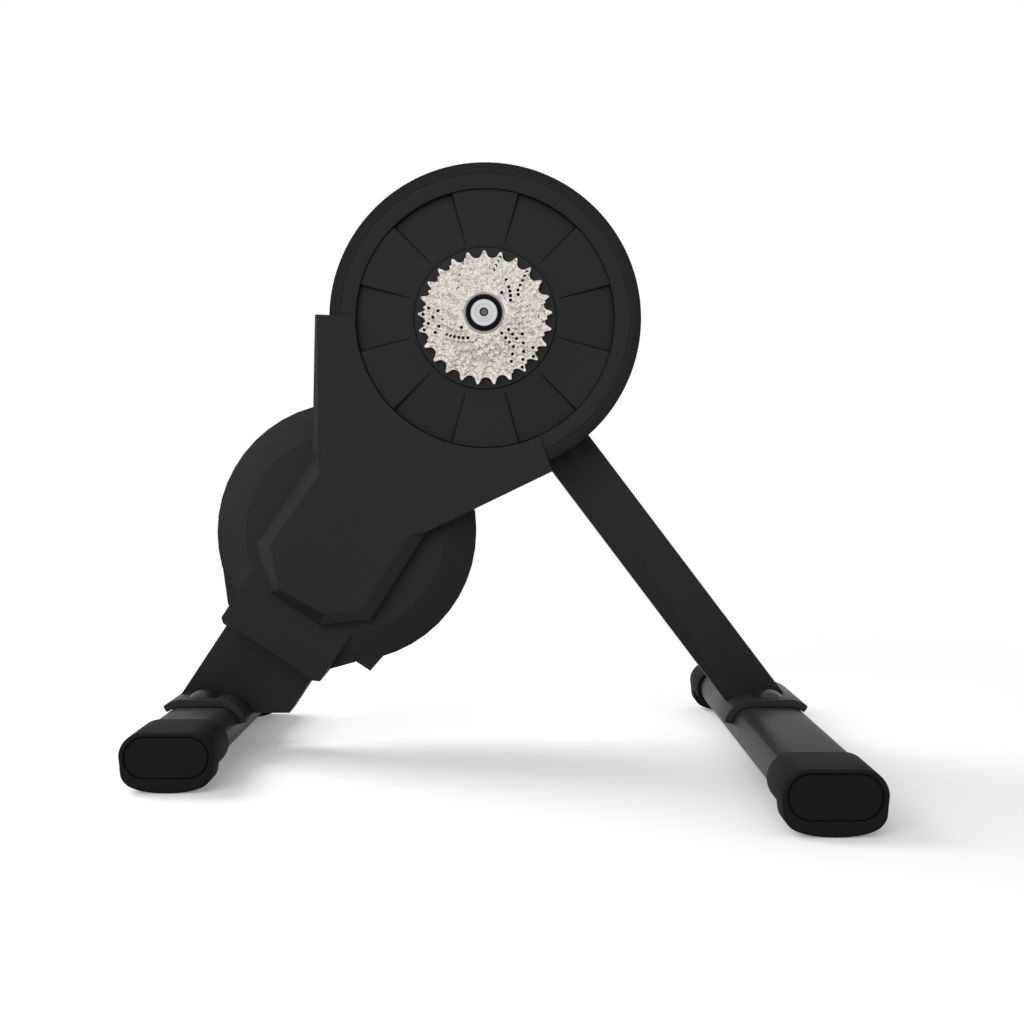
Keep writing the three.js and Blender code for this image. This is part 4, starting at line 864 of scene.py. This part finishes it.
# Lockring, axle end caps and seal: the lockring is steel and holds the cogs on the freehub.
# The end caps are turned aluminium; a rubber seal fills the step between the near cap and the lockring,
# and the steel rod that clamps the bike runs through the caps and the axle.
lockring = turned("cassette_lockring", rounded(
    [(14.0, -63.3), (15.1, -63.3), (15.1, -62.3), (15.3, -62.3), (15.6, -61.9), (15.6, -61.7),
     (14.0, -61.7)], (0.3, 0.2, 0.1, 0.1, 0.0, 0.0, 0.2)), axle, "cassette")
lockring_steel = coating("lockring steel", linear(160, 158, 155), 0.3, 2600.0, 0.002, 0.12,
                         gloss=0.5, metal=1.0)
dress(lockring, lockring_steel)
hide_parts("lockring")
seal = turned("axle_lip_seal", rounded(
    [(10.3, -63.3), (11.6, -63.3), (11.9, -62.8), (12.2, -63.3), (13.7, -63.3), (13.7, -61.7),
     (10.3, -61.7)], (0.3, 0.1, 0.1, 0.1, 0.3, 0.2, 0.2)), axle, "stand")
seal_rubber = coating("seal rubber", linear(13, 13, 13), 0.35, 1500.0, 0.01, 0.3, gloss=0.08)
dress(seal, seal_rubber)
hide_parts("axle_seal")
for end, sign in (("drive", -1.0), ("far", 1.0)):
    corners = [(3.1, 62.3), (10.1, 62.3), (10.1, 65.0), (4.8, 65.0), (4.8, 69.5), (3.1, 69.5)]
    profile = rounded(corners, (0.0, 0.2, 0.5, 0.3, 0.5, 0.8)) * [1.0, sign]
    cap = turned(f"dropout_cap_{end}", profile, axle, "stand")
    dress(cap, turned_alloy)
    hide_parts(f"axle_end_cap_{end}")
rod_profile = [(0.0, -68.6), (2.3, -68.6), (2.6, -68.3), (2.6, 68.3), (2.3, 68.6), (0.0, 68.6)]
rod = turned("skewer_rod", rod_profile, axle, "stand", sides=32)
rod_steel = coating("rolled steel", linear(104, 104, 105), 0.4, 2600.0, 0.002, 0.2, gloss=0.5, metal=1.0)
dress(rod, rod_steel)

# Flywheel and brake: cast iron flywheel on a steel shaft, a laminated core with four copper coils inside
# it, the circuit board in the housing's collar and the power inlet in its far face.
cast_iron = coating("machined cast iron", linear(85, 87, 90), 0.45, 900.0, 0.02, 0.4, gloss=0.5, metal=0.8)
for node in ("flywheel", "brake_core"):
    dress(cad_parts[node], cast_iron)
copper_wire = coating("enamelled copper", linear(165, 96, 47), 0.35, 600.0, 0.05, 0.4, gloss=0.5, metal=0.9)
for number in range(1, 5):
    dress(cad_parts[f"brake_coil_{number}"], copper_wire)
board_lacquer = coating("board lacquer", linear(31, 74, 48), 0.3, 1200.0, 0.01, 0.3, gloss=0.5)
dress(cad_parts["circuit_board"], board_lacquer)
dress(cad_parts["power_inlet"], knob_plastic)

# Body screws: blackened steel button heads with a round recess, 7.6 mm across. Five hold the far half of
# the housing and four hold the drum's back plate. Each is turned from a profile of its head and recess.
# A row of screws has its X, Z centre, its reach from there, the Y of its seat, and their directions.
screw_profile = np.array([(0.0, -1.0), (3.7, -1.0), (3.8, 0.3), (3.4, 1.2), (2.6, 1.8), (1.9, 2.1),
                          (1.45, 2.1), (1.35, 1.0), (0.0, 0.8)])
housing_screws = [(-111.42, 180.33, 79.0, 100.0, a) for a in (18.0, 90.0, 162.0, 234.0, 306.0)]
plate_screws = [(*axle, 113.0, 19.8, a) for a in (0.0, 60.0, 120.0, 180.0)]
for number, (x, z, reach, seat_y, direction) in enumerate(housing_screws + plate_screws, start=1):
    turn = np.radians(direction)
    screw = turned(f"body_screw_{number}", screw_profile + [0.0, seat_y],
                   (x + reach * np.cos(turn), z + reach * np.sin(turn)), "stand", sides=32)
    dress(screw, bolt_black)

# Studio: a white floor that runs out to a white surround, and soft light from above and in front.
# The floor keeps the trainer's shadow near it and turns to plain white further out. What bounces off it
# is darker than what is seen, so the trainer isn't lit from below.
floor_half = 6.0
paper_level = 0.83
paper_lift = 0.2
bounce_level = 0.22
fade_from = 0.5
fade_to = 1.1
surround_level = 0.5
lamps = (("left", (-1.85, 0.9, 1.75), 1.8, 56.0), ("front", (-0.9, -2.7, 1.3), 2.6, 52.0))
lamps_aim = (0.0, 0.0, 0.25)


def grey(level):
    """Linear grey of that level."""
    return (level, level, level, 1.0)


def seen(tree):
    """Node that gives 1 to rays of the camera, in gloss or through glass, and 0 to all others."""
    rays = add_node(tree, "ShaderNodeLightPath")
    either = add_node(tree, "ShaderNodeMath", operation="MAXIMUM")
    shown = add_node(tree, "ShaderNodeMath", operation="MAXIMUM")
    wire(tree, (rays, "Is Camera Ray", either, 0), (rays, "Is Glossy Ray", either, 1),
         (either, "Value", shown, 0), (rays, "Is Transmission Ray", shown, 1))
    return shown


floor_mesh = bpy.data.meshes.new("floor")
floor_mesh.from_pydata([(-floor_half, -floor_half, 0.0), (floor_half, -floor_half, 0.0),
                        (floor_half, floor_half, 0.0), (-floor_half, floor_half, 0.0)], [], [(0, 1, 2, 3)])
floor = bpy.data.objects.new("floor", floor_mesh)
scene.collection.objects.link(floor)
floor_paper = bpy.data.materials.new("white floor")
floor_paper.use_nodes = True
tree = floor_paper.node_tree
tree.nodes.remove(tree.nodes["Principled BSDF"])
paper = add_node(tree, "ShaderNodeBsdfDiffuse", {"Color": grey(paper_level)})
lift = add_node(tree, "ShaderNodeEmission", {"Color": grey(1.0), "Strength": paper_lift})
lifted = add_node(tree, "ShaderNodeAddShader")
dim = add_node(tree, "ShaderNodeBsdfDiffuse", {"Color": grey(bounce_level)})
white = add_node(tree, "ShaderNodeEmission", {"Color": grey(1.0)})
place = add_node(tree, "ShaderNodeTexCoord")
length = add_node(tree, "ShaderNodeVectorMath", operation="LENGTH")
fade = add_node(tree, "ShaderNodeMapRange", {"From Min": fade_from, "From Max": fade_to},
                interpolation_type="SMOOTHSTEP")
near_or_far = add_node(tree, "ShaderNodeMixShader")
seen_or_not = add_node(tree, "ShaderNodeMixShader")
wire(tree, (place, "Object", length, 0), (length, "Value", fade, "Value"),
     (fade, "Result", near_or_far, "Fac"), (paper, "BSDF", lifted, 0), (lift, "Emission", lifted, 1),
     (lifted, "Shader", near_or_far, 1), (white, "Emission", near_or_far, 2),
     (seen(tree), "Value", seen_or_not, "Fac"), (dim, "BSDF", seen_or_not, 1),
     (near_or_far, "Shader", seen_or_not, 2),
     (seen_or_not, "Shader", tree.nodes["Material Output"], "Surface"))
floor_mesh.materials.append(floor_paper)

world = bpy.data.worlds.new("surround")
scene.world = world
world.use_nodes = True
tree = world.node_tree
background = tree.nodes["Background"]
background.inputs["Color"].default_value = grey(1.0)
level = add_node(tree, "ShaderNodeMapRange", {"To Min": surround_level, "To Max": 1.0})
wire(tree, (seen(tree), "Value", level, "Value"), (level, "Result", background, "Strength"))

for name, where, size, power in lamps:
    light = bpy.data.lights.new(name, "AREA")
    light.shape = "DISK"
    light.size = size
    light.energy = power
    lamp = bpy.data.objects.new(name, light)
    lamp.location = where
    lamp.visible_glossy = False
    aim = np.array(lamps_aim) - np.array(where)
    lamp.rotation_euler = (np.arctan2(np.hypot(aim[0], aim[1]), -aim[2]), 0.0,
                           np.arctan2(aim[1], aim[0]) - np.pi / 2.0)
    scene.collection.objects.link(lamp)

scene.view_settings.view_transform = "Standard"
